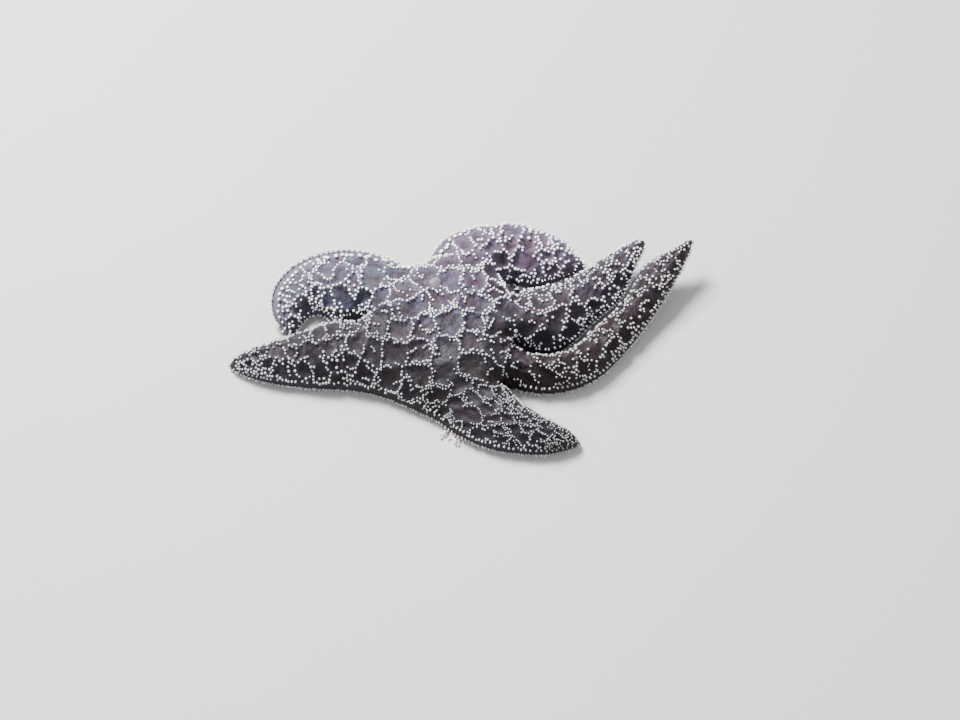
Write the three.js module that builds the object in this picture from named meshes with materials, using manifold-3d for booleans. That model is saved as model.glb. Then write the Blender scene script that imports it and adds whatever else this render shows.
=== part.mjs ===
import * as THREE from 'three';
import Module from 'manifold-3d';
import { LoftGeometry } from 'three/addons/geometries/LoftGeometry.js';
import { ParametricGeometry } from 'three/addons/geometries/ParametricGeometry.js';
import { mergeGeometries, mergeVertices } from 'three/addons/utils/BufferGeometryUtils.js';

// A six-armed ochre sea star at life size, in millimetres, +Z up, resting on its flat sole.
// Surfaces are the envelope of the spine tips. The arms are laid out from the mouth, and the whole
// animal is then set with the middle of its outline over the origin.

const seat = { x: -6.68, y: -2.56 }; // where the mouth lies, with the middle of the outline over the origin

const disc = {
  height: 31, // crest above the floor
  join: 4, // power that melts the arms' domes into the disc's
  cut: 50, // distance from the mouth at which an arm is parted from the disc
};

const sole = {
  margin: 3, // height of the rounded edge where the upper side turns under
  lip: 1.8, // thickness lost just inside that edge
  foot: 0.5, // share of the half width that lies flat on the floor
  turn: 0.94, // share at which the lip is full
  groove: 2.8, // half width of the groove along the arm
  depth: 5, // height of the groove's roof
  full: 12, // half width of an arm above which the groove has that height
  mouthRadius: 8,
  mouthDepth: 6,
};

const taper = { width: 0.55, crestFrom: 2.2, crest: 0.7, tipCrest: 8, round: 0.93 };
const flank = { disc: 0.6, fadeIn: 24, settle: 30, tipSettle: 16 };
const gap = 0.3; // clearance between neighbouring solids

// Arms counterclockwise from the one that lies to the left, as seen from above.
// heading is where an arm leaves the mouth, and straight is how far it goes before the bends,
// each a length and a turn to the left in degrees. left and right are half widths near the disc,
// notch is the distance from the mouth to the corner shared with the next arm round, flare is how
// long the arm takes to widen from a narrow corner, raise lifts an edge off the floor, the flanks
// are the powers that shape the sides, and lift curls up the tip. A bulge is where along the arm an
// edge swells, how far it reaches either way, and by how much.
const arms = [
  { name: 'arm_1', heading: 188, straight: 44, bends: [[36, -2], [34, -3]], left: 26, right: 20,
    fullness: 1.8, crest: 27, notch: 45, flare: 18, raiseLeft: 0, raiseRight: 0, flankLeft: 0.6,
    flankRight: 0.6, bulgeRight: [60, 24, 3], lift: 0, colour: 0x6a5566 },
  { name: 'arm_2', heading: 298, straight: 40, bends: [[20, 34], [20, 16], [14, 0]], left: 16, right: 21,
    fullness: 2.2, crest: 24, notch: 42, flare: 18, raiseLeft: 0, raiseRight: 0, flankLeft: 0.6,
    flankRight: 0.6, lift: 0, colour: 0x5c4754 },
  { name: 'arm_3', heading: 336, straight: 40, bends: [[22, 39], [20, 31], [38, 4], [42, 2]], left: 13.4,
    right: 12.8, fullness: 2.6, crest: 21, notch: 35, flare: 60, raiseLeft: 0, raiseRight: 0,
    flankLeft: 0.8, flankRight: 0.6, bulgeLeft: [138, 24, 6.5], lift: 18, colour: 0x6b3d4c },
  { name: 'arm_4', heading: 4, straight: 36, bends: [[20, 38], [66, 2]], left: 19.3, right: 18,
    fullness: 2.2, crest: 26, notch: 43, flare: 18, raiseLeft: 0, raiseRight: 4, flankLeft: 0.6,
    flankRight: 0.8, bulgeLeft: [50, 30, 13], bulgeRight: [92, 22, 3], lift: 14, colour: 0x665060 },
  { name: 'arm_5', heading: 75, straight: 39.2, bends: [[36, -87], [35, 0]], left: 19.5, right: 21,
    fullness: 3.0, crest: 29, notch: 48, flare: 18, raiseLeft: 8, raiseRight: 0, flankLeft: 0.95,
    flankRight: 0.6, bulgeLeft: [48, 17, 7.5], bulgeRight: [84, 22, 4.6], lift: 0, colour: 0x85748a },
  { name: 'arm_6', heading: 146, straight: 44, bends: [[31, 44], [26, 75], [8, 10]], left: 16, right: 28,
    fullness: 2.6, crest: 27, notch: 46, flare: 18, raiseLeft: 0, raiseRight: 8, flankLeft: 0.6,
    flankRight: 0.95, bulgeLeft: [70, 26, 7.2], lift: 0, colour: 0x7b6a7e },
];

const madreporite = { heading: 110, distance: 21, radius: 3.2, rim: 0.5, dome: 1.4, sunk: 1.6 };
const mouth = { radius: 4, low: 2.2, high: 4.2 };
const eyespot = { radius: 1.1, drop: 0.4 };

const grid = { columns: 12, discRows: 8, neckRows: 2, innerRows: 5, outerRows: 9, crowd: 1.4 };

const degree = Math.PI / 180;
const clamp = (value) => Math.min(Math.max(value, 0), 1);
const smooth = (value) => clamp(value) ** 2 * (3 - 2 * clamp(value));
const mix = THREE.MathUtils.lerp;

// ---------------------------------------------------------------- layout of the arms in plan

// Point and heading at a distance along an arm: a straight run and then arcs.
function pathAt(arm, distance) {
  let heading = arm.heading * degree;
  let [x, y, rest] = [0, 0, distance];
  for (const [length, turn] of [[arm.straight, 0], ...arm.bends]) {
    const step = Math.min(rest, length);
    const swing = (turn * degree * step) / length;
    const chord = swing === 0 ? step : (step * Math.sin(swing / 2)) / (swing / 2);
    x += chord * Math.cos(heading + swing / 2);
    y += chord * Math.sin(heading + swing / 2);
    heading += swing;
    rest -= step;
  }
  return { x, y, heading };
}

// The corner between two neighbouring arms, in the frame of either: half the angle between
// them, how far along, and how far out.
arms.forEach((arm, i) => {
  const next = arms[(i + 1) % arms.length];
  const half = THREE.MathUtils.euclideanModulo(next.heading - arm.heading, 360) * 0.5 * degree;
  const radius = arm.notch;
  const corner = { half, radius, along: radius * Math.cos(half), out: radius * Math.sin(half) };
  arm.length = arm.straight + arm.bends.reduce((sum, [length]) => sum + length, 0);
  arm.leftCorner = corner;
  arm.leftNeighbour = next;
  next.rightCorner = corner;
  next.rightNeighbour = arm;
});

const cornerOf = (arm, side) => (side > 0 ? arm.leftCorner : arm.rightCorner);

// Half width of an arm alone, narrowing to a blunt tip, with the swelling of that edge.
function taperedWidth(arm, side, along) {
  const base = side > 0 ? arm.left : arm.right;
  const [middle, reach, swell] = (side > 0 ? arm.bulgeLeft : arm.bulgeRight) ?? [0, 1, 0];
  const tapered = base * (1 - Math.min(along / arm.length, 1) ** arm.fullness) ** taper.width;
  return tapered + swell * smooth(1 - Math.abs(along - middle) / reach);
}

// Half width with the disc: a circle inside the corner, and past it a curve into the arm's own
// edge, which leaves a wide corner square to the line between the arms and a narrow one gently.
function halfWidth(arm, side, along) {
  const corner = cornerOf(arm, side);
  if (along <= corner.along) return Math.sqrt(corner.radius ** 2 - along ** 2);
  const extra = corner.out - taperedWidth(arm, side, corner.along);
  const past = along - corner.along;
  const wide = clamp(1 - past / (2 * extra * Math.tan(corner.half))) ** 2;
  const share = extra > 0 ? wide : 1 - smooth(past / arm.flare);
  return taperedWidth(arm, side, along) + extra * share;
}

// ---------------------------------------------------------------- heights

function crestAt(arm, along) {
  const share = Math.min(along / arm.length, 1);
  const crest = mix(taper.tipCrest, arm.crest, (1 - share ** taper.crestFrom) ** taper.crest);
  const end = clamp((share - taper.round) / (1 - taper.round));
  return sole.margin + (crest - sole.margin) * Math.sqrt(1 - end ** 2);
}

function marginAt(arm, side, along) {
  const raise = side > 0 ? arm.raiseLeft : arm.raiseRight;
  const corner = cornerOf(arm, side);
  const settled = smooth((along - corner.along) / flank.settle);
  return sole.margin + raise * settled * smooth((arm.length - along) / flank.tipSettle);
}

const liftAt = (arm, along) => arm.lift * clamp((along / arm.length - 0.5) / 0.5) ** 2;

// Rise of one arm's dome above its edge, nothing at the edge and full along the crest.
function domeAt(arm, along, out) {
  if (along <= 0) return 0;
  const side = Math.sign(out) || 1;
  const across = clamp(Math.abs(out) / halfWidth(arm, side, along));
  const far = side > 0 ? arm.flankLeft : arm.flankRight;
  const power = mix(flank.disc, far, smooth((along - cornerOf(arm, side).along) / flank.settle));
  const rise = crestAt(arm, along) - marginAt(arm, side, along);
  return rise * (1 - across ** 2) ** power * smooth(along / flank.fadeIn);
}

// Dome of a neighbouring arm at a point given in this arm's frame, nothing past their corner.
function neighbourDome(arm, other, radius, along, out) {
  const turn = (arm.heading - other.heading) * degree;
  const otherAlong = along * Math.cos(turn) - out * Math.sin(turn);
  const otherOut = along * Math.sin(turn) + out * Math.cos(turn);
  return radius < cornerOf(other, Math.sign(otherOut) || 1).radius ? domeAt(other, otherAlong, otherOut) : 0;
}

// Upper side: the edge's height plus the disc's dome, this arm's and its neighbours', joined by a
// power sum. leftShare runs from the line shared with the right neighbour to the left one's.
function topAt(arm, along, out) {
  const side = Math.sign(out) || 1;
  const radius = Math.hypot(along, out);
  const leftShare = clamp(0.5 + (0.5 * Math.atan2(out, along)) / cornerOf(arm, side).half);
  const coreRadius = mix(arm.rightCorner.radius, arm.leftCorner.radius, leftShare);
  const core = (disc.height - sole.margin) * (1 - clamp(radius / coreRadius) ** 2) ** flank.disc;
  const left = smooth(leftShare) * neighbourDome(arm, arm.leftNeighbour, radius, along, out);
  const right = smooth(1 - leftShare) * neighbourDome(arm, arm.rightNeighbour, radius, along, out);
  const own = domeAt(arm, along, out);
  const powers = [core, own, left, right].map((part) => part ** disc.join);
  const rise = powers.reduce((sum, power) => sum + power) ** (1 / disc.join);
  return marginAt(arm, side, along) + rise + liftAt(arm, along);
}

function grooveHalf(arm, side, along, limit) {
  return Math.min(sole.groove, 0.4 * limit, 0.3 * halfWidth(arm, side, along));
}

// Underside: flat feet either side of the groove, a lip that rises to the edge, and the mouth.
function soleAt(arm, along, out, limit) {
  const side = Math.sign(out) || 1;
  const width = halfWidth(arm, side, along);
  const across = Math.abs(out) / width;
  const edge = marginAt(arm, side, along);
  if (across > 0.999) return edge + liftAt(arm, along);
  const lip = (edge - sole.lip) * smooth((across - sole.foot) / (sole.turn - sole.foot));
  const half = Math.max(grooveHalf(arm, side, along, limit), 1e-6);
  const roof = sole.depth * Math.min(1, width / sole.full) * Math.sqrt(1 - clamp(Math.abs(out) / half) ** 2);
  const cup = sole.mouthDepth * Math.sqrt(1 - clamp(Math.hypot(along, out) / sole.mouthRadius) ** 2);
  return Math.max(lip, roof, cup) + liftAt(arm, along);
}

// ---------------------------------------------------------------- from the arm's frame to points

function place(arm, along, out, height) {
  const { x, y, heading } = pathAt(arm, along);
  return new THREE.Vector3(x - Math.sin(heading) * out, y + Math.cos(heading) * out, height);
}

// How far out the solid goes on one side: to the line between the arms, or to its own edge.
function limitAt(arm, side, along) {
  const corner = cornerOf(arm, side);
  return along <= corner.along ? along * Math.tan(corner.half) : halfWidth(arm, side, along);
}

// Columns on the upper side, from right edge (-1) to left edge (1), closer towards the edges.
function topColumn(share, spread) {
  const u = 2 * share - 1;
  return mix(u, Math.sin((u * Math.PI) / 2), spread);
}

// Columns on the underside follow the groove, the feet and the lip, mirrored about the middle.
const soleColumns = [0, 0.55, 1, 0.5, 0.75, 0.94, 1];

function soleColumn(arm, along, share) {
  const index = Math.round((2 * share - 1) * (grid.columns / 2));
  const side = Math.sign(index) || 1;
  const limit = limitAt(arm, side, along);
  const half = grooveHalf(arm, side, along, limit);
  const step = Math.abs(index);
  return side * (step <= 2 ? half * soleColumns[step] : limit * soleColumns[step]);
}

// Distance along the arm for a row of the disc, which meets the corner on both sides.
function discRow(arm, row, share) {
  const corner = mix(arm.rightCorner.along, arm.leftCorner.along, share);
  if (row <= grid.discRows) return corner * (1 - (1 - row / grid.discRows) ** grid.crowd);
  return mix(corner, disc.cut - gap / 2, (row - grid.discRows) / grid.neckRows);
}

function topPoint(arm, along, share, spread) {
  const column = topColumn(share, spread);
  const out = column * limitAt(arm, Math.sign(column) || 1, along);
  return place(arm, along, out, topAt(arm, along, out));
}

function solePoint(arm, along, share) {
  const out = soleColumn(arm, along, share);
  return place(arm, along, out, soleAt(arm, along, out, limitAt(arm, Math.sign(out) || 1, along)));
}

// ---------------------------------------------------------------- solids

// One closed body from pieces of surface, with shared corners merged and slivers dropped.
function weld(pieces) {
  const bare = pieces.map((piece) => {
    const copy = piece.index ? piece.toNonIndexed() : piece.clone();
    copy.deleteAttribute('normal');
    copy.deleteAttribute('uv');
    return copy;
  });
  const merged = mergeVertices(mergeGeometries(bare), 0.002);
  const index = [];
  for (let i = 0; i < merged.index.count; i += 3) {
    const [a, b, c] = [0, 1, 2].map((k) => merged.index.getX(i + k));
    if (a !== b && b !== c && c !== a) index.push(a, b, c);
  }
  merged.setIndex(index);
  return merged;
}

// Flat face across an arm, between its upper side and its sole.
function faceAcross(arm, along, facesTip) {
  const point = (share, low) => (low ? solePoint(arm, along, share) : topPoint(arm, along, share, 1));
  const surface = (u, v, target) => target.copy(point(facesTip ? 1 - u : u, v > 0.5));
  return new ParametricGeometry(surface, grid.columns, 1);
}

// The disc: for each arm a sector of the upper side, one of the underside, and the cut face.
function discGeometry() {
  const pieces = [];
  const rows = grid.discRows + grid.neckRows;
  for (const arm of arms) {
    const spread = (row) => clamp(row / grid.discRows);
    const top = (share, rowShare, target) => {
      const row = rowShare * rows;
      target.copy(topPoint(arm, discRow(arm, row, share), share, spread(row)));
    };
    const under = (share, rowShare, target) => {
      target.copy(solePoint(arm, discRow(arm, rowShare * rows, 1 - share), 1 - share));
    };
    pieces.push(new ParametricGeometry((u, v, p) => top(1 - u, v, p), grid.columns, rows));
    pieces.push(new ParametricGeometry((u, v, p) => under(1 - u, v, p), grid.columns, rows));
    pieces.push(faceAcross(arm, disc.cut - gap / 2, true));
  }
  return weld(pieces);
}

// Closed outline of an arm across its path, over the top from left to right and back below.
function armSection(arm, along) {
  const ring = [];
  for (let i = 0; i <= grid.columns; i++) ring.push(topPoint(arm, along, 1 - i / grid.columns, 1));
  for (let i = 1; i < grid.columns; i++) ring.push(solePoint(arm, along, i / grid.columns));
  return ring;
}

function armLength(arm, from, to, rows, crowd) {
  const sections = [];
  for (let row = 0; row <= rows; row++) {
    const share = row / rows;
    sections.push(armSection(arm, mix(from, to, 1 - (1 - share) ** crowd)));
  }
  return weld([new LoftGeometry(sections), faceAcross(arm, from, false), faceAcross(arm, to, true)]);
}

// ---------------------------------------------------------------- cutting

const wasm = await Module();
wasm.setup();

function toSolid(geometry) {
  const merged = weld([geometry]);
  return new wasm.Manifold(new wasm.Mesh({
    numProp: 3,
    vertProperties: new Float32Array(merged.attributes.position.array),
    triVerts: new Uint32Array(merged.index.array),
  }));
}

function toGeometry(solid) {
  const { vertProperties, triVerts } = solid.getMesh();
  const geometry = new THREE.BufferGeometry();
  geometry.setAttribute('position', new THREE.BufferAttribute(vertProperties, 3));
  geometry.setIndex(new THREE.BufferAttribute(triVerts, 1));
  return geometry;
}

// ---------------------------------------------------------------- small parts

// A round plate turned about its own axis: flat below, domed above.
function plateGeometry(radius, rim, dome, segments) {
  const profile = [new THREE.Vector2(0, 0), new THREE.Vector2(radius, 0), new THREE.Vector2(radius, rim)];
  for (const share of [0.66, 0.33]) {
    profile.push(new THREE.Vector2(radius * share, rim + (dome - rim) * (1 - share ** 2)));
  }
  profile.push(new THREE.Vector2(0, dome));
  return new THREE.LatheGeometry(profile, segments).rotateX(Math.PI / 2);
}

// Height and slope of the disc where the sieve plate sits, found from three nearby points.
function madreporiteMatrix(depth) {
  const next = arms.find((arm) => arm.name === 'arm_5');
  const turn = (madreporite.heading - next.heading) * degree;
  const [along, out] = [madreporite.distance * Math.cos(turn), madreporite.distance * Math.sin(turn)];
  const at = (da, db) => place(next, along + da, out + db, topAt(next, along + da, out + db));
  const [middle, ahead, aside] = [at(0, 0), at(2, 0), at(0, 2)];
  const normal = new THREE.Vector3().crossVectors(ahead.sub(middle), aside.sub(middle)).normalize();
  const turnTo = new THREE.Quaternion().setFromUnitVectors(new THREE.Vector3(0, 0, 1), normal);
  const seatPoint = middle.addScaledVector(normal, -depth);
  return new THREE.Matrix4().compose(seatPoint, turnTo, new THREE.Vector3(1, 1, 1));
}

function discWithPit() {
  const { radius, sunk } = madreporite;
  const cutter = plateGeometry(radius + gap, sunk + 3, sunk + 3.2, 20);
  cutter.applyMatrix4(madreporiteMatrix(sunk + gap));
  return toGeometry(toSolid(discGeometry()).subtract(toSolid(cutter)));
}

// ---------------------------------------------------------------- the group

const group = new THREE.Group();
group.name = 'ochre_sea_star';
group.position.set(seat.x, seat.y, 0);

function addMesh(name, geometry, colour, roughness) {
  const shaded = geometry.index ? geometry.toNonIndexed() : geometry;
  shaded.computeVertexNormals();
  const material = new THREE.MeshStandardMaterial({ color: colour, roughness, metalness: 0 });
  const mesh = new THREE.Mesh(shaded, material);
  mesh.name = name;
  group.add(mesh);
  return mesh;
}

addMesh('disc', discWithPit(), 0x705f72, 0.5);

const { radius: plateRadius, rim, dome } = madreporite;
const plate = plateGeometry(plateRadius, rim, dome, 20).applyMatrix4(madreporiteMatrix(madreporite.sunk));
addMesh('madreporite', plate, 0xd9c9c0, 0.6);

const lips = plateGeometry(mouth.radius, 0.6, mouth.high - mouth.low, 18);
addMesh('mouth', lips, 0xb99a86, 0.5).position.set(0, 0, mouth.low);

for (const arm of arms) {
  const middle = mix(disc.cut, arm.length, 0.48);
  const end = arm.length - 0.4;
  const inner = armLength(arm, disc.cut + gap / 2, middle - gap / 2, grid.innerRows, 1);
  const outer = armLength(arm, middle + gap / 2, end, grid.outerRows, 1.7);
  addMesh(`${arm.name}_inner`, inner, arm.colour, 0.5);
  addMesh(`${arm.name}_outer`, outer, arm.colour, 0.5);
  const spot = place(arm, end, 0, sole.margin + liftAt(arm, end) - eyespot.drop);
  const { heading } = pathAt(arm, end);
  spot.x += Math.cos(heading) * (eyespot.radius + gap);
  spot.y += Math.sin(heading) * (eyespot.radius + gap);
  const ball = new THREE.IcosahedronGeometry(eyespot.radius, 1);
  addMesh(arm.name.replace('arm', 'eyespot'), ball, 0xc2452e, 0.35).position.copy(spot);
}

export default group;
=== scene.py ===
import math

import bpy
import numpy as np
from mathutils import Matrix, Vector, kdtree


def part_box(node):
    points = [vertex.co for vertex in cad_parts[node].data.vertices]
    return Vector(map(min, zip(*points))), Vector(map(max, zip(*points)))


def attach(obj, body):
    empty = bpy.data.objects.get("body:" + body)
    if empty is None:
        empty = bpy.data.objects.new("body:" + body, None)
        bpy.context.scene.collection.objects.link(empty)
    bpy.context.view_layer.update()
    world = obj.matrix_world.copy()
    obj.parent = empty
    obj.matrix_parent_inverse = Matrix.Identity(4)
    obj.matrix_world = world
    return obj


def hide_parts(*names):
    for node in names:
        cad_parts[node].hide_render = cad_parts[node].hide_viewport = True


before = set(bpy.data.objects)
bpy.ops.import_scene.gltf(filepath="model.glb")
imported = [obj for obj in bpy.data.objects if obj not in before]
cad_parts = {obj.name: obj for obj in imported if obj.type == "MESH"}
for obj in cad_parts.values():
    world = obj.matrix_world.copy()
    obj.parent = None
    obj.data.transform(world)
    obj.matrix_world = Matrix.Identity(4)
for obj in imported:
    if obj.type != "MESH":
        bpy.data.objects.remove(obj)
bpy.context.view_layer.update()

mm = 0.001  # shapes are worked out in millimetres, and their meshes are in metres
print("frame loaded with", len(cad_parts), "nodes")


# The camera, the lights and the sky: metres, degrees and watts.
studio = {
    "aim": (0.00892, -0.00833, -0.0036),  # the point in the middle of the view
    "elevation": 58.0,
    "distance": 0.9,
    "focal": 64.9,
    "sensor": 36,
    "clip": (0.05, 20),
    "floorSize": 6.0,
    "floorColour": (0.455, 0.445, 0.43),
    "lightAim": (0, 0, 0.01),
    "keyPower": 98.0,
    "keySize": 0.5,
    "keyPlace": (-0.55, 0.62, 1.15),
    "keyColour": (0.98, 0.985, 1.0),
    "fillPower": 8.0,
    "fillSize": 1.4,
    "fillPlace": (0.6, -1.3, 1.1),
    "fillColour": (0.93, 0.96, 1.0),
    "sky": (0.80, 0.85, 0.92),
    "skyPower": 1.0,
}


def lookAt(thing, target):
    # Turns the thing's minus z axis along target minus place, with its y axis upwards.
    aim = Vector(target) - thing.location
    thing.rotation_euler = aim.to_track_quat("-Z", "Y").to_euler()


def areaLight(name):
    # A square lamp at its place, facing the animal, with the four settings that begin with its name.
    lamp = bpy.data.lights.new(name, "AREA")
    lamp.size = studio[name + "Size"]
    lamp.energy = studio[name + "Power"]
    lamp.color = studio[name + "Colour"]
    thing = bpy.data.objects.new(name, lamp)
    bpy.context.scene.collection.objects.link(thing)
    thing.location = studio[name + "Place"]
    lookAt(thing, studio["lightAim"])


lens = bpy.data.cameras.new("camera")
lens.lens = studio["focal"]
lens.sensor_width = studio["sensor"]
lens.clip_start, lens.clip_end = studio["clip"]
camera = bpy.data.objects.new("camera", lens)
bpy.context.scene.collection.objects.link(camera)
tilt = math.radians(studio["elevation"])
away = Vector((0, -math.cos(tilt), math.sin(tilt)))
camera.location = Vector(studio["aim"]) + studio["distance"] * away
lookAt(camera, studio["aim"])
bpy.context.scene.camera = camera

areaLight("key")
areaLight("fill")
world = bpy.data.worlds.new("sky")
bpy.context.scene.world = world
world.use_nodes = True
background = world.node_tree.nodes["Background"].inputs
background["Color"].default_value = (*studio["sky"], 1)
background["Strength"].default_value = studio["skyPower"]
print("camera and lights are in place")


class Wire:
    # A socket in an expression: a wire times a wire or a number adds a Math node.
    def __init__(self, finish, socket):
        self.finish = finish
        self.socket = socket

    def __mul__(self, other):
        return self.finish.node("ShaderNodeMath", {"operation": "MULTIPLY"}, {0: self, 1: other})

    __rmul__ = __mul__


class Finish:
    # A material under construction.
    def __init__(self, name):
        self.material = bpy.data.materials.new(name)
        self.material.use_nodes = True
        self.tree = self.material.node_tree
        self.shader = self.tree.nodes["Principled BSDF"]

    def put(self, socket, value):
        # A wire is linked, a colour gets its fourth number, and the rest is set as it is.
        if isinstance(value, Wire):
            self.tree.links.new(value.socket, socket)
        elif isinstance(value, tuple) and len(value) == 3 and socket.type == "RGBA":
            socket.default_value = (*value, 1)
        else:
            socket.default_value = value

    def node(self, kind, settings=None, sockets=None, out=0):
        # Any node: first its settings, then the values or wires of its sockets. Gives one output.
        made = self.tree.nodes.new(kind)
        for key, value in (settings or {}).items():
            setattr(made, key, value)
        for key, value in (sockets or {}).items():
            self.put(made.inputs[key], value)
        return Wire(self, made.outputs[out])

    def blend(self, share, first, second):
        # The first colour times (1 - share) plus the second times the share.
        return self.node("ShaderNodeMix", {"data_type": "RGBA"}, {0: share, 6: first, 7: second}, out=2)

    def shade(self, colour, share):
        # A colour times a number.
        return self.node("ShaderNodeVectorMath", {"operation": "SCALE"}, {0: colour, 3: share})

    def ramp(self, value, low, high, to=(0.0, 1.0)):
        # A straight line from the first end to the second, while the value goes from low to high.
        sockets = {0: value, 1: low, 2: high, 3: to[0], 4: to[1]}
        return self.node("ShaderNodeMapRange", {"clamp": True}, sockets)

    def place(self):
        # Object coordinates, in metres.
        return self.node("ShaderNodeTexCoord", out=3)

    def noise(self, scale, detail=3.0, rough=0.55, bend=0.0):
        # Cloudy noise from 0 to 1 with about this many clouds to a metre.
        sockets = {"Vector": self.place(), "Scale": scale, "Detail": detail, "Roughness": rough,
                   "Distortion": bend}
        return self.node("ShaderNodeTexNoise", {}, sockets)

    def cells(self, scale, feature="F1"):
        # The distance to the nearest of scattered dots, about this many to a metre.
        sockets = {"Vector": self.place(), "Scale": scale}
        return self.node("ShaderNodeTexVoronoi", {"feature": feature}, sockets)

    def field(self, name):
        # The number that each point of the mesh carries under this name.
        return self.node("ShaderNodeAttribute", {"attribute_name": name}, out=2)

    def bump(self, height, strength, distance, under=None):
        # Tilts the normal by the slope of height times distance, on top of another bump.
        sockets = {"Strength": strength, "Distance": distance, "Height": height}
        if under is not None:
            sockets["Normal"] = under
        return self.node("ShaderNodeBump", {}, sockets)

    def surface(self, sockets):
        # Fills the main shader's sockets and gives the material.
        for key, value in sockets.items():
            self.put(self.shader.inputs[key], value)
        return self.material


def floorFinish():
    # The floor's colour, up to 3 hundredths darker in wide clouds.
    f = Finish("floor")
    tone = f.ramp(f.noise(3.0), 0.3, 0.7, (0.97, 1.0))
    return f.surface({"Base Color": f.shade(studio["floorColour"], tone), "Roughness": 0.8})


def makePiece(name, points, faces, material, fields=None, uv=None):
    # A mesh of points in millimetres. A field has a number for each point, and uv a pair for each
    # corner of each face.
    mesh = bpy.data.meshes.new(name)
    mesh.from_pydata(np.asarray(points, float) * mm, [], np.asarray(faces).tolist())
    if uv is not None:
        layer = mesh.uv_layers.new(name="OFBake")
        layer.data.foreach_set("uv", np.asarray(uv, np.float32).ravel())
    for key, values in (fields or {}).items():
        made = mesh.attributes.new(key, "FLOAT", "POINT")
        made.data.foreach_set("value", np.asarray(values, np.float32))
    mesh.polygons.foreach_set("use_smooth", np.ones(len(mesh.polygons), bool))
    mesh.update()
    mesh.materials.append(material)
    thing = bpy.data.objects.new(name, mesh)
    bpy.context.scene.collection.objects.link(thing)
    return thing


half = studio["floorSize"] / 2 / mm
corners = [(-half, -half, 0), (half, -half, 0), (half, half, 0), (-half, half, 0)]
floor = makePiece("floor", corners, [(0, 1, 2, 3)], floorFinish())


# The form of the animal: the same surface as that of the solids, worked out for whole arrays.
form = {  # millimetres
    "seat": (-6.68, -2.56), "height": 31, "join": 4, "margin": 3, "widthPower": 0.55,
    "crestFrom": 2.2, "crestPower": 0.7, "tipCrest": 8, "round": 0.93, "discFlank": 0.6,
    "fadeIn": 24, "settle": 30, "tipSettle": 16,
    "liftFrom": 0.5,  # share of the arm past which its tip rises
    "lip": 1.8, "lipAt": 0.94, "lipOver": 0.06, "foot": 0.5,  # shares of the half width, and a height
    "groove": 2.8, "grooveOfLimit": 0.4, "grooveOfWidth": 0.3, "roof": 5, "roofWidth": 12,
    "mouthRadius": 8, "mouthDepth": 6,
}
# The arms, counterclockwise from the left. A bend is a length and a turn in degrees. A bulge is where
# along the arm an edge swells, how far it reaches either way, and by how much.
arms = [
    {"heading": 188, "straight": 44, "bends": [(36, -2), (34, -3)], "widthLeft": 26, "widthRight": 20,
     "fullness": 1.8, "crest": 27, "notch": 45, "flare": 18, "bulgeRight": (60, 24, 3)},
    {"heading": 298, "straight": 40, "bends": [(20, 34), (20, 16), (14, 0)], "widthLeft": 16,
     "widthRight": 21, "fullness": 2.2, "crest": 24, "notch": 42, "flare": 18},
    {"heading": 336, "straight": 40, "bends": [(22, 39), (20, 31), (38, 4), (42, 2)], "widthLeft": 13.4,
     "widthRight": 12.8, "fullness": 2.6, "crest": 21, "notch": 35, "flare": 60, "flankLeft": 0.8, "lift": 18,
     "bulgeLeft": (138, 24, 6.5)},
    {"heading": 4, "straight": 36, "bends": [(20, 38), (66, 2)], "widthLeft": 19.3, "widthRight": 18,
     "fullness": 2.2, "crest": 26, "notch": 43, "flare": 18, "raiseRight": 4, "flankRight": 0.8, "lift": 14,
     "bulgeLeft": (50, 30, 13), "bulgeRight": (92, 22, 3)},
    {"heading": 75, "straight": 39.2, "bends": [(36, -87), (35, 0)], "widthLeft": 19.5, "widthRight": 21,
     "fullness": 3.0, "crest": 29, "notch": 48, "flare": 18, "raiseLeft": 8, "flankLeft": 0.95,
     "bulgeLeft": (48, 17, 7.5), "bulgeRight": (84, 22, 4.6)},
    {"heading": 146, "straight": 44, "bends": [(31, 44), (26, 75), (8, 10)], "widthLeft": 16,
     "widthRight": 28, "fullness": 2.6, "crest": 27, "notch": 46, "flare": 18, "raiseRight": 8,
     "flankRight": 0.95, "bulgeLeft": (70, 26, 7.2)},
]
for arm in arms:
    for key, plain in (("raise", 0.0), ("flank", form["discFlank"]), ("bulge", (0, 1, 0))):
        for end in ("Left", "Right"):
            arm.setdefault(key + end, plain)
    arm.setdefault("lift", 0.0)
    arm["turn"] = math.radians(arm["heading"])
    arm["length"] = arm["straight"] + sum(run for run, _ in arm["bends"])
for arm, after in zip(arms, arms[1:] + arms[:1]):  # what each pair of neighbours shares
    angle = ((after["turn"] - arm["turn"]) % (2 * math.pi)) / 2
    for end, one in (("Left", arm), ("Right", after)):
        one["angle" + end] = angle
        one["corner" + end] = arm["notch"]
        one["reach" + end] = arm["notch"] * math.cos(angle)
    arm["after"] = after
    after["before"] = arm


def smooth(value):
    # Three times the square less twice the cube of the value, held between 0 and 1.
    value = np.clip(value, 0, 1)
    return value * value * (3 - 2 * value)


def mix(low, high, share):
    # The low value plus the share of the way to the high one.
    return low + (high - low) * share


def sided(arm, key, left):
    # The arm's value for its left side or for its right one.
    return np.where(left, arm[key + "Left"], arm[key + "Right"])


def pathAt(arm, along):
    # A straight run and then arcs: each adds its chord at its mean heading, and then its turn.
    heading = np.full(np.shape(along), arm["turn"])
    x, y, rest = np.zeros_like(heading), np.zeros_like(heading), np.array(along, float)
    for run, turn in [(arm["straight"], 0)] + arm["bends"]:
        step = np.minimum(rest, run)
        swing = math.radians(turn) * step / run
        chord = step * np.sinc(swing / (2 * np.pi))
        x = x + chord * np.cos(heading + swing / 2)
        y = y + chord * np.sin(heading + swing / 2)
        heading = heading + swing
        rest = rest - step
    return x, y, heading


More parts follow.
